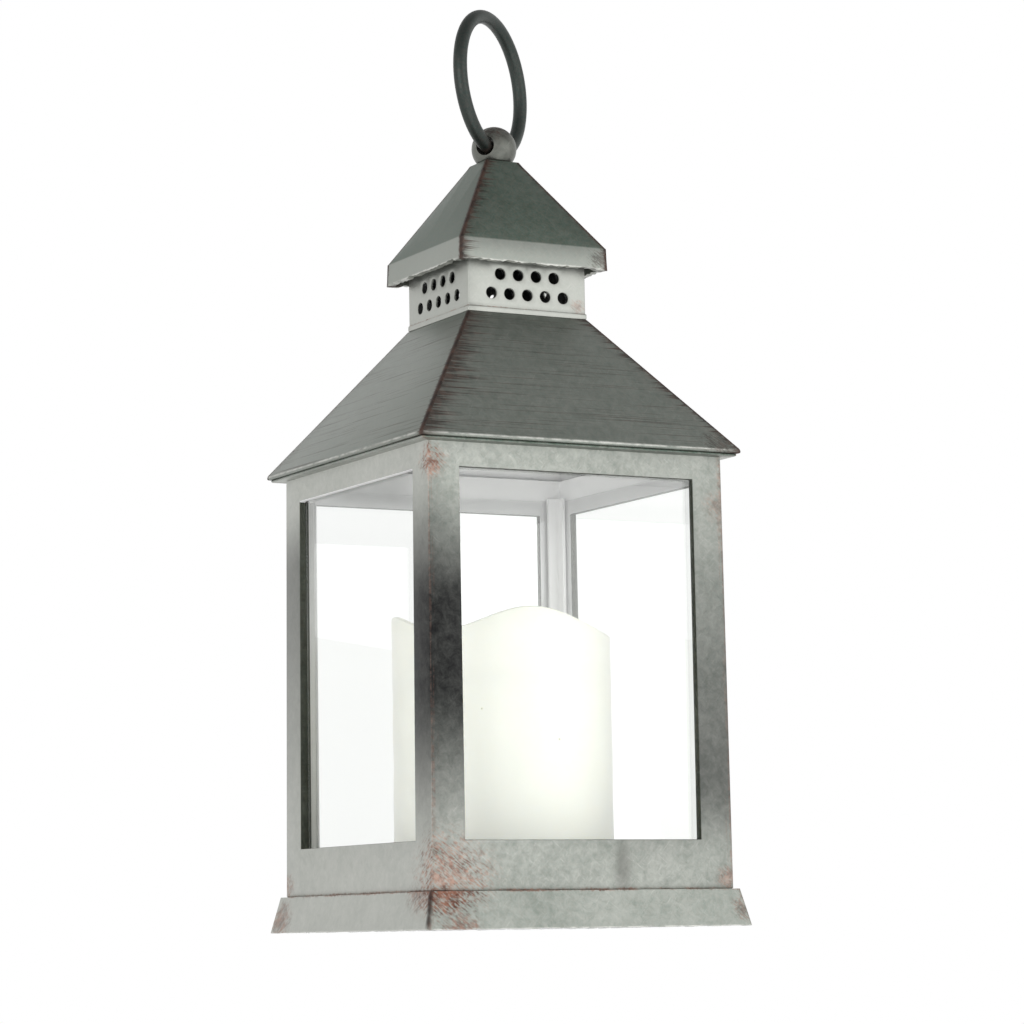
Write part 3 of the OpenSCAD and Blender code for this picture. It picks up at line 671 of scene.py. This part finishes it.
def make_piece(name, bm, body, materials, replaces=(), which=None):
    """Turns a finished mesh into a piece. which gives the number of a face's material."""
    for face in bm.faces:
        face.smooth = True
        if which:
            face.material_index = int(which(face))
    mesh = bpy.data.meshes.new(name)
    bm.to_mesh(mesh)
    bm.free()
    piece = bpy.data.objects.new(name, mesh)
    bpy.context.scene.collection.objects.link(piece)
    for material in materials:
        mesh.materials.append(material)
    mesh.set_sharp_from_angle(angle=radians(40))
    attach(piece, body)
    if replaces:
        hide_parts(*replaces)
    return piece


def outside_or_inside(face):
    """Paint on the faces that look outwards, up or down, and bare plastic on those that look inwards,
    which on the collar is dark as painted shade.
    """
    centre = middle_of(face).xy
    return BARE if face.normal.xy.dot(centre) < -0.3 * centre.length else PAINTED


def millimetres(node):
    low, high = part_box(node)
    return low / MM, high / MM


# ---------------------------------------------------------------- pieces


def base_piece(materials):
    """The flared skirt, the ledge for the body and the raised floor, with a ragged lower edge."""
    half = millimetres("base_tray")[1].x
    ledge_z = millimetres("body_frame")[0].z
    ledge_half = half - SKIRT_FLARE
    riser_half = -millimetres("front_pane")[0].y
    floor_z = millimetres("candle_shell")[0].z
    outline = [
        (half, 0),
        (ledge_half, ledge_z),
        (riser_half, ledge_z),
        (riser_half, floor_z),
        (LEAD_HOLE, floor_z),
        (LEAD_HOLE, floor_z - LEDGE_T),
        (riser_half - LEDGE_T, floor_z - LEDGE_T),
        (riser_half - LEDGE_T, ledge_z - LEDGE_T),
        (ledge_half - SKIRT_WALL + SKIRT_SPREAD, ledge_z - LEDGE_T),
        (half - SKIRT_WALL, 0),
    ]
    bm = mitred_side(outline)
    soften(bm, width=0.3)
    roughen_edge(bm, z=0, depth=0.35, pitch=1.3, half=half)
    close_square(bm, corner_width=0.4)
    return make_piece("base_skirt", bm, "lantern", materials, ["base_tray"], outside_or_inside)


def body_piece(materials):
    """Four walls with a window in each, and the flange under the eaves."""
    low, high = millimetres("body_frame")
    pane_low, pane_high = millimetres("front_pane")
    eave_z = millimetres("main_roof")[0].z
    inner_half = -pane_low.y + PANE_PLAY
    foot_half = inner_half + BODY_WALL
    top_half = foot_half - BODY_DRAFT
    window_half = foot_half - POST_W
    sill_z = pane_low.z + PANE_LAP
    window_top = pane_high.z - PANE_LAP
    outline = [
        (foot_half, low.z),
        (top_half, eave_z - FLANGE_T),
        (high.x, eave_z - FLANGE_T),
        (high.x, eave_z),
        (top_half, eave_z),
        (top_half, high.z),
        (inner_half, high.z),
        (inner_half, low.z),
    ]
    bm = mitred_side(outline)
    soften(bm, width=0.25)
    for x in (-window_half, window_half):
        cut(bm, (x * MM, 0, 0), (1, 0, 0))
    for z in (sill_z, window_top):
        cut(bm, (0, 0, z * MM), (0, 0, 1))

    def over_window(face):
        centre = middle_of(face)
        return abs(centre.x) < window_half and sill_z < centre.z < window_top

    over = [f for f in bm.faces if over_window(f)]
    bmesh.ops.delete(bm, geom=over, context="FACES_ONLY")
    rims = [
        e for e in bm.edges
        if len(e.link_faces) == 1 and all(abs(v.co.x) < (window_half + 0.01) * MM for v in e.verts)
    ]
    bmesh.ops.delete(bm, geom=[e for e in bm.edges if not e.link_faces], context="EDGES")
    bmesh.ops.bridge_loops(bm, edges=[e for e in rims if e.is_valid])
    soften(bm, width=0.3, segments=2, sharper_than=50)
    close_square(bm, corner_width=0.5)

    def with_reveals(face):
        """Dark paint on the windows' reveals, except the top one on the left, which is pale bare plastic.
        """
        centre = middle_of(face)
        along, across = sorted((abs(centre.x), abs(centre.y)))
        in_window = along < window_half + 0.05 and sill_z - 0.05 < centre.z < window_top + 0.05
        if not in_window or across < inner_half + 0.1:
            return outside_or_inside(face)
        pale_top = centre.z > window_top - 0.5 and -centre.x > abs(centre.y)
        return BARE if pale_top else REVEAL

    return make_piece(
        "body_walls", bm, "lantern", materials, ["body_frame"], with_reveals
    )


def corner_holders(materials):
    """The corner blocks, lips and screw bosses inside the body that hold the panes and the base."""
    pane_low, pane_high = millimetres("front_pane")
    inner_half = -pane_low.y + PANE_PLAY
    groove = pane_high.y - pane_low.y + 2 * PANE_PLAY
    lip_in = inner_half - groove - LIP_T
    block_in = inner_half - CORNER_BLOCK
    floor_z = millimetres("candle_shell")[0].z
    top_z = pane_high.z + HOLDER_RISE
    screw = inner_half - SCREW_INSET
    bm = bmesh.new()

    def bar(x0, x1, y0, y1, z0, z1):
        made = bmesh.ops.create_cube(bm, size=1)["verts"]
        bmesh.ops.scale(bm, vec=Vector((x1 - x0, y1 - y0, z1 - z0)) * MM, verts=made)
        middle = Vector((x0 + x1, y0 + y1, z0 + z1)) / 2 * MM
        bmesh.ops.translate(bm, vec=middle, verts=made)

    bar(block_in, inner_half, block_in, inner_half, pane_low.z, top_z)
    bar(block_in - LIP_REACH, inner_half, lip_in, lip_in + LIP_T, pane_low.z, top_z)
    bar(lip_in, lip_in + LIP_T, block_in - LIP_REACH, inner_half, pane_low.z, top_z)
    bar(screw, inner_half, screw, inner_half, floor_z, pane_low.z)
    radius = BOSS_D / 2 * MM
    boss = bmesh.ops.create_cone(
        bm, segments=32, radius1=radius, radius2=radius, depth=BOSS_H * MM, cap_ends=True
    )["verts"]
    bmesh.ops.translate(bm, vec=Vector((screw, screw, floor_z + BOSS_H / 2)) * MM, verts=boss)
    soften(bm, width=0.2, segments=2)
    repeat_on_four_sides(bm)
    bmesh.ops.recalc_face_normals(bm, faces=bm.faces[:])

    def spray_and_shade(face):
        """True for the end of the lip at the rear of the left window, which the spray reached."""
        centre = middle_of(face)
        on_lip = centre.x < -lip_in + 0.1 and lip_in - 5 < centre.y < block_in - 1
        return on_lip and face.normal.y < -0.3

    return make_piece("corner_holders", bm, "lantern", materials, which=spray_and_shade)


def roof_piece(materials):
    """The hollow pyramid with its thin upright rim."""
    low, high = millimetres("main_roof")
    collar_half = millimetres("vent_collar")[1].x
    spigot_half = collar_half - 2 * ROOF_WALL
    rim_z = low.z + EAVE_T
    slope = (high.z - rim_z) / (high.x - collar_half)
    drop = ROOF_WALL * sqrt(1 + slope * slope)
    outline = [
        (high.x, low.z),
        (high.x, rim_z),
        (collar_half, high.z),
        (spigot_half, high.z),
        (spigot_half, high.z - drop),
        (collar_half, high.z - drop),
        (high.x - (drop - EAVE_T) / slope, low.z),
    ]
    bm = mitred_side(outline)
    soften(bm, width=0.2)
    close_square(bm, corner_width=0.45)
    return make_piece(
        "roof_shell", bm, "lantern", materials, ["main_roof"], outside_or_inside
    )


def collar_piece(materials):
    """The square tube with two rows of round vent holes on each side and a bead at its foot."""
    low, high = millimetres("vent_collar")
    roof_top = millimetres("main_roof")[1].z
    foot_half = high.x
    half = foot_half - FOOT_PROUD
    inner_half = half - COLLAR_WALL
    spigot_half = foot_half - 2 * ROOF_WALL - SPIGOT_PLAY
    foot_z = roof_top + FOOT_H
    outline = [
        (foot_half, roof_top),
        (foot_half, foot_z),
        (half, foot_z),
        (half, high.z),
        (inner_half, high.z),
        (inner_half, foot_z),
        (spigot_half - COLLAR_WALL, foot_z),
        (spigot_half - COLLAR_WALL, low.z),
        (spigot_half, low.z),
        (spigot_half, roof_top),
    ]
    bm = mitred_side(outline)
    soften(bm, width=0.12, segments=2)
    rows = [(VENT_COUNT, roof_top + VENT_LOW), (VENT_COUNT - 1, roof_top + VENT_LOW + VENT_RISE)]
    reach = VENT_COUNT * VENT_GRID // 2
    for step in range(-reach, reach + 1):
        cut(bm, (step * VENT_PITCH / VENT_GRID * MM, 0, 0), (1, 0, 0))
    for level in range(2 * VENT_GRID + 1):
        cut(bm, (0, 0, (rows[0][1] + (level / VENT_GRID - 0.5) * VENT_RISE) * MM), (0, 0, 1))
    for count, z in rows:
        for i in range(count):
            vent_hole(bm, (i - (count - 1) / 2) * VENT_PITCH, z, half, inner_half)
    bmesh.ops.recalc_face_normals(bm, faces=bm.faces[:])
    soften(bm, width=0.18, segments=2, sharper_than=50)
    close_square(bm, corner_width=0.4)
    return make_piece(
        "collar_tube", bm, "lantern", materials, ["vent_collar"], outside_or_inside
    )


def vent_hole(bm, x, z, half, inner_half):
    """Opens one round hole through the outer and inner wall of a side."""
    rings = []
    for depth in (half, inner_half):
        centre = Vector((x, -depth, z))

        def over_hole(face):
            away = middle_of(face) - centre
            return abs(away.x) < VENT_PITCH / 2 and abs(away.z) < VENT_RISE / 2 and abs(away.y) < 0.01

        over = [f for f in bm.faces if over_hole(f)]
        bmesh.ops.inset_region(bm, faces=over, thickness=0.1 * MM, use_even_offset=True)
        ring = [e for f in over for e in f.edges if not all(g in over for g in e.link_faces)]
        for vert in {v for e in ring for v in e.verts}:
            vert.co = centre * MM + (vert.co - centre * MM).normalized() * VENT_D / 2 * MM
        bmesh.ops.delete(bm, geom=over, context="FACES")
        rings += ring
    bmesh.ops.bridge_loops(bm, edges=rings)


def cap_piece(materials):
    """The small hollow pyramid with a skirt and a ragged lower edge."""
    low, high = millimetres("cap_roof")
    half = high.x
    foot_half = half - CAP_DRAFT
    slope_z = low.z + CAP_SKIRT_H
    top_half = CAP_TOP_W / 2
    slope = (high.z - slope_z) / (foot_half - top_half)
    drop = CAP_WALL * sqrt(1 + slope * slope)
    inner_half = foot_half - CAP_WALL
    inner_z = slope_z - drop + CAP_WALL * slope
    hole = SHANK_HOLE / 2
    outline = [
        (half, low.z),
        (foot_half, slope_z),
        (top_half, high.z),
        (hole, high.z),
        (hole, high.z - drop),
        (top_half, high.z - drop),
        (inner_half, inner_z),
        (inner_half, low.z),
    ]
    bm = mitred_side(outline)
    soften(bm, width=0.2)
    roughen_edge(bm, z=low.z, depth=0.8, pitch=0.9, half=half)
    close_square(bm, corner_width=0.4)
    rib_out = inner_half + CAP_RIB_SUNK
    rib = Vector((CAP_RIB_T, rib_out - millimetres("vent_collar")[1].x, CAP_RIB_H))
    size = Matrix.Diagonal((*rib * MM, 1))
    for side in range(4):
        turn = Matrix.Rotation(side * pi / 2, 4, "Z")
        for x in (-CAP_RIB_X, CAP_RIB_X):
            place = Vector((x, rib.y / 2 - rib_out, low.z + CAP_RIB_UP + rib.z / 2)) * MM
            bmesh.ops.create_cube(bm, size=1, matrix=turn @ Matrix.Translation(place) @ size)
    return make_piece("cap_shell", bm, "lantern", materials, ["cap_roof"])


def rim_wave(angle):
    """Height of the melted rim over its mean, in millimetres, at an angle in radians."""
    return sum(rise * cos(lobes * angle - radians(turn)) for lobes, rise, turn in RIM_WAVES)


def candle_piece(materials):
    """The hollow candle with its melted, rounded rim."""
    low, high = millimetres("candle_shell")
    radius = high.x
    inner = radius - CANDLE_WALL
    seat = inner - DISC_SEAT
    disc_z = low.z + DISC_H
    rim_z = low.z + CANDLE_H
    bead = CANDLE_WALL / 2
    wall_z = low.z + CANDLE_FOOT
    bead_z = rim_z - bead
    outline = [(radius - CANDLE_FOOT, low.z)]
    outline += [(radius, wall_z + step * (bead_z - wall_z) / 24) for step in range(24)]
    outline += [
        (radius - bead + bead * cos(radians(a)), bead_z + bead * sin(radians(a)))
        for a in range(0, 181, 20)
    ]
    outline += [(inner, bead_z - step * (bead_z - disc_z) / 6) for step in range(1, 7)]
    outline += [(seat, disc_z), (seat, low.z)]
    bm = bmesh.new()
    verts = [bm.verts.new((r * MM, 0, z * MM)) for r, z in outline]
    edges = [bm.edges.new(pair) for pair in zip(verts, verts[1:] + verts[:1])]
    bmesh.ops.spin(
        bm, geom=verts + edges, cent=(0, 0, 0), axis=UP, angle=tau, steps=180, use_merge=True
    )
    close_seams(bm)
    for vert in bm.verts:
        angle = atan2(vert.co.y, vert.co.x)
        share = min(1, max(0, (vert.co.z / MM - disc_z) / (bead_z - disc_z)))
        vert.co.z += share * rim_wave(angle) * MM
        dent = 0.25 - 0.25 * noise.noise(vert.co / MM / 14)
        if vert.co.xy.length > (radius - 0.1) * MM:
            vert.co.xy *= 1 - dent / radius
    return make_piece("candle_wax", bm, "lantern", materials, ["candle_shell"])


def ring_piece(materials):
    """The hanging ring, a round bar bent to a circle that passes through the ball."""
    low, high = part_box("hanging_ring")
    bar = RING_BAR / 2 * MM
    radius = ((high.z - low.z) / 2 - bar) / cos(radians(RING_LEAN))
    bm = bmesh.new()
    start = Matrix.Translation((radius, 0, 0)) @ Matrix.Rotation(pi / 2, 4, "X")
    verts = bmesh.ops.create_circle(bm, segments=32, radius=bar, matrix=start)["verts"]
    edges = bm.edges[:]
    bmesh.ops.spin(bm, geom=verts + edges, cent=(0, 0, 0), axis=UP, angle=tau, steps=144, use_merge=True)
    close_seams(bm)
    stand = (
        Matrix.Translation((low + high) / 2)
        @ Matrix.Rotation(radians(-RING_TURN), 4, "Z")
        @ Matrix.Rotation(pi / 2 - radians(RING_LEAN), 4, "Y")
    )
    bmesh.ops.transform(bm, matrix=stand, verts=bm.verts[:])
    return make_piece("ring_bar", bm, "ring", materials, ["hanging_ring"])


def ball_piece(materials):
    """The ball with its shank and cross bore."""
    bm = bmesh.new()
    bm.from_mesh(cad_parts["finial_ball"].data)
    close_seams(bm)
    return make_piece("ball_knob", bm, "finial", materials, ["finial_ball"])


def dress(node, material):
    """Gives a CAD piece its finish."""
    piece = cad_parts[node]
    piece.data.materials.clear()
    piece.data.materials.append(material)


# ---------------------------------------------------------------- studio


def studio_camera():
    azimuth = radians(CAMERA_AZIMUTH)
    elevation = radians(CAMERA_ELEVATION)
    forward = Vector((sin(azimuth) * cos(elevation), cos(azimuth) * cos(elevation), sin(elevation)))
    lens = bpy.data.cameras.new("camera")
    lens.lens = CAMERA_LENS
    lens.sensor_width = 36
    lens.clip_start = 0.05
    camera = bpy.data.objects.new("camera", lens)
    bpy.context.scene.collection.objects.link(camera)
    camera.location = CAMERA_PLACE
    camera.rotation_mode = "QUATERNION"
    roll = Quaternion(UP, radians(CAMERA_ROLL))
    camera.rotation_quaternion = forward.to_track_quat("-Z", "Y") @ roll
    bpy.context.scene.camera = camera


def studio_world(ambient=0.7, overhead=0.45):
    """White all round for what the camera and the gloss see, darker overhead, and a soft ambient light."""
    world = bpy.data.worlds.new("studio")
    bpy.context.scene.world = world
    nodes = Nodes(world)
    direction = nodes.node("ShaderNodeTexCoord", output="Generated")
    split = nodes.node("ShaderNodeSeparateXYZ", sockets={0: direction})
    up = Value(nodes, split.socket.node.outputs[2])
    path = nodes.node("ShaderNodeLightPath").socket.node.outputs
    seen = Value(nodes, path["Is Camera Ray"])
    mirrored = Value(nodes, path["Is Glossy Ray"])
    gloss = nodes.math("MAXIMUM", mirrored, Value(nodes, path["Is Transmission Ray"]))
    dome = 1 - (1 - overhead) * nodes.smooth(up, 0.3, 0.85)
    around = ambient + (dome - ambient) * gloss
    level = around + (1 - around) * seen
    background = nodes.node("ShaderNodeBackground", sockets={"Color": (1, 1, 1, 1), "Strength": level})
    nodes.output("ShaderNodeOutputWorld", background)


def soft_lamp(name, place, aim, size, power):
    light = bpy.data.lights.new(name, "AREA")
    light.shape = "SQUARE"
    light.size = size
    light.energy = power
    lamp = bpy.data.objects.new(name, light)
    bpy.context.scene.collection.objects.link(lamp)
    lamp.location = place
    lamp.rotation_mode = "QUATERNION"
    lamp.rotation_quaternion = (Vector(aim) - Vector(place)).to_track_quat("-Z", "Y")


def studio_floor():
    """A pale floor that shows from above alone, so that the underside can be seen too."""
    bm = bmesh.new()
    bmesh.ops.create_circle(bm, segments=96, radius=3, cap_ends=True)
    bm.normal_update()
    bmesh.ops.reverse_faces(bm, faces=[f for f in bm.faces if f.normal.z < 0])
    mesh = bpy.data.meshes.new("floor")
    bm.to_mesh(mesh)
    bm.free()
    floor = bpy.data.objects.new("floor", mesh)
    bpy.context.scene.collection.objects.link(floor)
    floor.location.z = -0.0005
    floor.visible_diffuse = False
    floor.visible_glossy = False
    floor.visible_transmission = False
    floor.visible_shadow = False
    material = bpy.data.materials.new("pale_floor")
    nodes = Nodes(material)
    place = nodes.node("ShaderNodeTexCoord", output="Object")
    fade = nodes.smooth(nodes.length(place), 0.35, 1.4)
    below = nodes.node("ShaderNodeNewGeometry", output="Backfacing")
    pale = nodes.node("ShaderNodeBsdfDiffuse", sockets={"Color": (0.86, 0.86, 0.86, 1)})
    clear = nodes.node("ShaderNodeBsdfTransparent")
    hidden = nodes.math("MAXIMUM", below, fade)
    surface = nodes.node("ShaderNodeMixShader", sockets={0: hidden, 1: pale, 2: clear})
    nodes.output("ShaderNodeOutputMaterial", surface)
    mesh.materials.append(material)


def studio():
    scene = bpy.context.scene
    scene.view_settings.view_transform = "Standard"
    studio_camera()
    studio_world()
    middle = (cad_low + cad_high) / 2
    soft_lamp("left_softbox", (-1.1, -0.8, 0.25), middle, 1.0, 4)
    soft_lamp("front_softbox", (0.9, -1.3, 0.45), middle, 1.3, 5)
    soft_lamp("low_softbox", (0.1, -0.9, -0.6), middle, 1.0, 2.5)
    studio_floor()


# ---------------------------------------------------------------- the lantern


def base_paint():
    """Worn brown at the near corner and along the ledge, with a dark line down the corner, a painted
    highlight along the lower edge and painted light on the left and right faces.
    """
    ledge_z = millimetres("body_frame")[0].z
    return finish(
        # The left and right faces are painted lighter as painted light
        "base_paint", patina, rub=0.49, sides=0.3, wear=RUSSET, corners=0.8, edges=[(ledge_z, 0.35)],
        # A painted highlight along the lower edge
        bright=[(0.2, 0.3)],
        scuffs=[
            (-46, -53, 14.5, 21, 1), (-47, -52, 12.5, 12, 1), (-42, -55, 0, 10, 0.7),
            (-51, -44, 11, 12, 0.5), (-52, 47, 4, 11, 0.6), (51, -50, 5, 7, 0.5), (42, 51, 6, 13, 0.7),
        ],
        smudges=[(-half, -half, z, 1.5, 0.8) for half, z in ((50.3, 9.6), (51, 6.4), (51.8, 3))],
    )


def body_paint():
    """Painted shade on the posts and on the flange under the eaves, worn corners and a brown foot line."""
    foot_z = millimetres("body_frame")[0].z
    flange_z = millimetres("main_roof")[0].z - FLANGE_T
    return finish(
        # The left and right faces are painted lighter as painted light, and the posts carry painted shade
        "body_paint", patina, rub=0.55, sides=0.27, wear=COPPER, mottling=1.1, corners=1, smoky=True,
        # The flange under the eaves is painted dark as painted shade
        upper=(flange_z + 0.1, 0.1), edges=[(foot_z + 0.2, 0.4)],
        scuffs=[
            (-47, -58, 14, 27, 0.9), (48, -49, 14, 7, 0.6), (-49, 48, 14, 7, 0.6), (40, 49, 15, 16, 0.7),
            (-49.5, -50, 131, 10, 1), (48, -49, 122, 9, 0.4),
        ],
        smudges=[(12, -49, 17, 4, 0.35)],
    )


def roof_paint():
    """Dark: darker than the walls, partly as painted shade, with long brush strokes from the hips, fine
    level lines and a painted highlight along the rim.
    """
    rim_z = millimetres("main_roof")[0].z + 0.8
    return finish(
        # The low rub makes the slopes darker, partly as painted shade
        "roof_paint", patina, rub=0.36, wear=UMBER, mottling=0.5, hips=24, lines=0.5,
        # A painted highlight along the rim
        bright=[(rim_z, 0.5)], scuffs=[(46, -51, 140, 9, 0.6), (-46, 51, 140, 9, 0.6)],
    )


def collar_paint():
    """Bright, with a brown line over the foot and bare plastic in the holes, darkened inwards as painted
    shade.
    """
    foot_top = millimetres("main_roof")[1].z + FOOT_H
    skin = millimetres("vent_collar")[1].x - FOOT_PROUD - 0.35
    return finish(
        "collar_paint", patina, rub=0.74, wear=COPPER, mottling=0.6, edges=[(foot_top + 0.1, 0.2)],
        skin=skin, scuffs=[(17, -19.7, 184, 4, 0.4)],
    )


def cap_paint():
    """A bright skirt with a painted highlight along its lower edge, under dark slopes that are partly
    painted shade, brushed at the hips.
    """
    low_z = millimetres("cap_roof")[0].z
    return finish(
        # The slopes are painted darker, partly as painted shade
        "cap_paint", patina, rub=0.5, upper=(low_z + CAP_SKIRT_H, 0.12), wear=UMBER, mottling=0.35,
        # A painted highlight along the lower edge
        hips=8, bright=[(low_z + 0.3, 0.6)], scuffs=[(23, -24, 198, 7, 0.5)],
    )


def ring_paint():
    return finish(
        "ring_paint", patina, rub=-0.08, coat=RING_COAT, wear=UMBER, mottling=0.6,
        scuffs=[(-8, 9, 270, 16, 0.6), (0, 0, 235, 14, 0.7), (-16, 12, 248, 12, 0.6)],
    )


def ball_paint():
    return finish(
        "ball_paint", patina, rub=0.2, coat=OLIVE_BLACK, wear=UMBER, mottling=0.4,
        scuffs=[(0, 0, 244, 15, 0.9)],
    )


def housing():
    """The base, the body and the roof with its collar and cap."""
    # The pale bare inside, with painted shade near the top of its left half
    inside = finish("bare_inside", plastic, colour=BARE_PLASTIC, roughness=0.5, mist=128)
    # The inside of the collar is dark as painted shade
    shaded_inside = finish("shaded_inside", plastic, colour=shade(34, 35, 34), roughness=0.6)
    reveal_paint = finish(
        "reveal_paint", patina, rub=0, coat=OLIVE_BLACK, wear=UMBER, mottling=0.3
    )
    base_piece([base_paint(), inside])
    body_piece([body_paint(), inside, reveal_paint])
    corner_holders([inside, reveal_paint])
    roof_piece([roof_paint(), inside])
    collar_piece([collar_paint(), shaded_inside])
    cap_piece([cap_paint()])


def candle():
    """The wax, the recessed disc and what carries the lamp."""
    candle_piece([finish("ivory_wax", wax)])
    # The disc keeps the plain ivory of its CAD node.
    dress("lamp", finish("amber_lamp", lamp_dome))
    dress("lamp_board", finish("green_board", etched_board))
    dress("lamp_stalk", finish("pale_plastic", plastic, colour=shade(222, 222, 218)))
    dress("lamp_leads", finish("lead_jacket", twin_leads))


def hanger():
    ring_piece([ring_paint()])
    ball_piece([ball_paint()])


def panes():
    glass = clear_pane()
    for side in ("front", "rear", "left", "right"):
        dress(f"{side}_pane", glass)


def underside():
    """The bottom plate with its door, the cells, the contacts and the switch."""
    black = finish("dark_plastic", moulded_black)
    for node in ("bottom_plate", "battery_door", "switch_slider"):
        dress(node, black)
    dress("contact_plates", finish("brushed_steel", steel, brushed=1.0))
    dress("switch_body", finish("switch_shell", switch_shell))
    low, high = millimetres("battery_cells")
    wrap = finish(
        "cell_jacket", cell_wrap, centre=(low + high) / 2, pitch=(high.y - low.y - CELL_D) / 2,
        half_length=CELL_L / 2, shift=(high.x - low.x - CELL_L) / 2
    )
    dress("battery_cells", wrap)


def steel_pieces():
    """The screws, the washer and the springs."""
    metal = finish("plated_steel", steel)
    for node in ("base_screws", "finial_washer", "finial_screw", "contact_springs"):
        dress(node, metal)


def lantern():
    housing()
    candle()
    hanger()
    panes()
    underside()
    steel_pieces()


lantern()
studio()
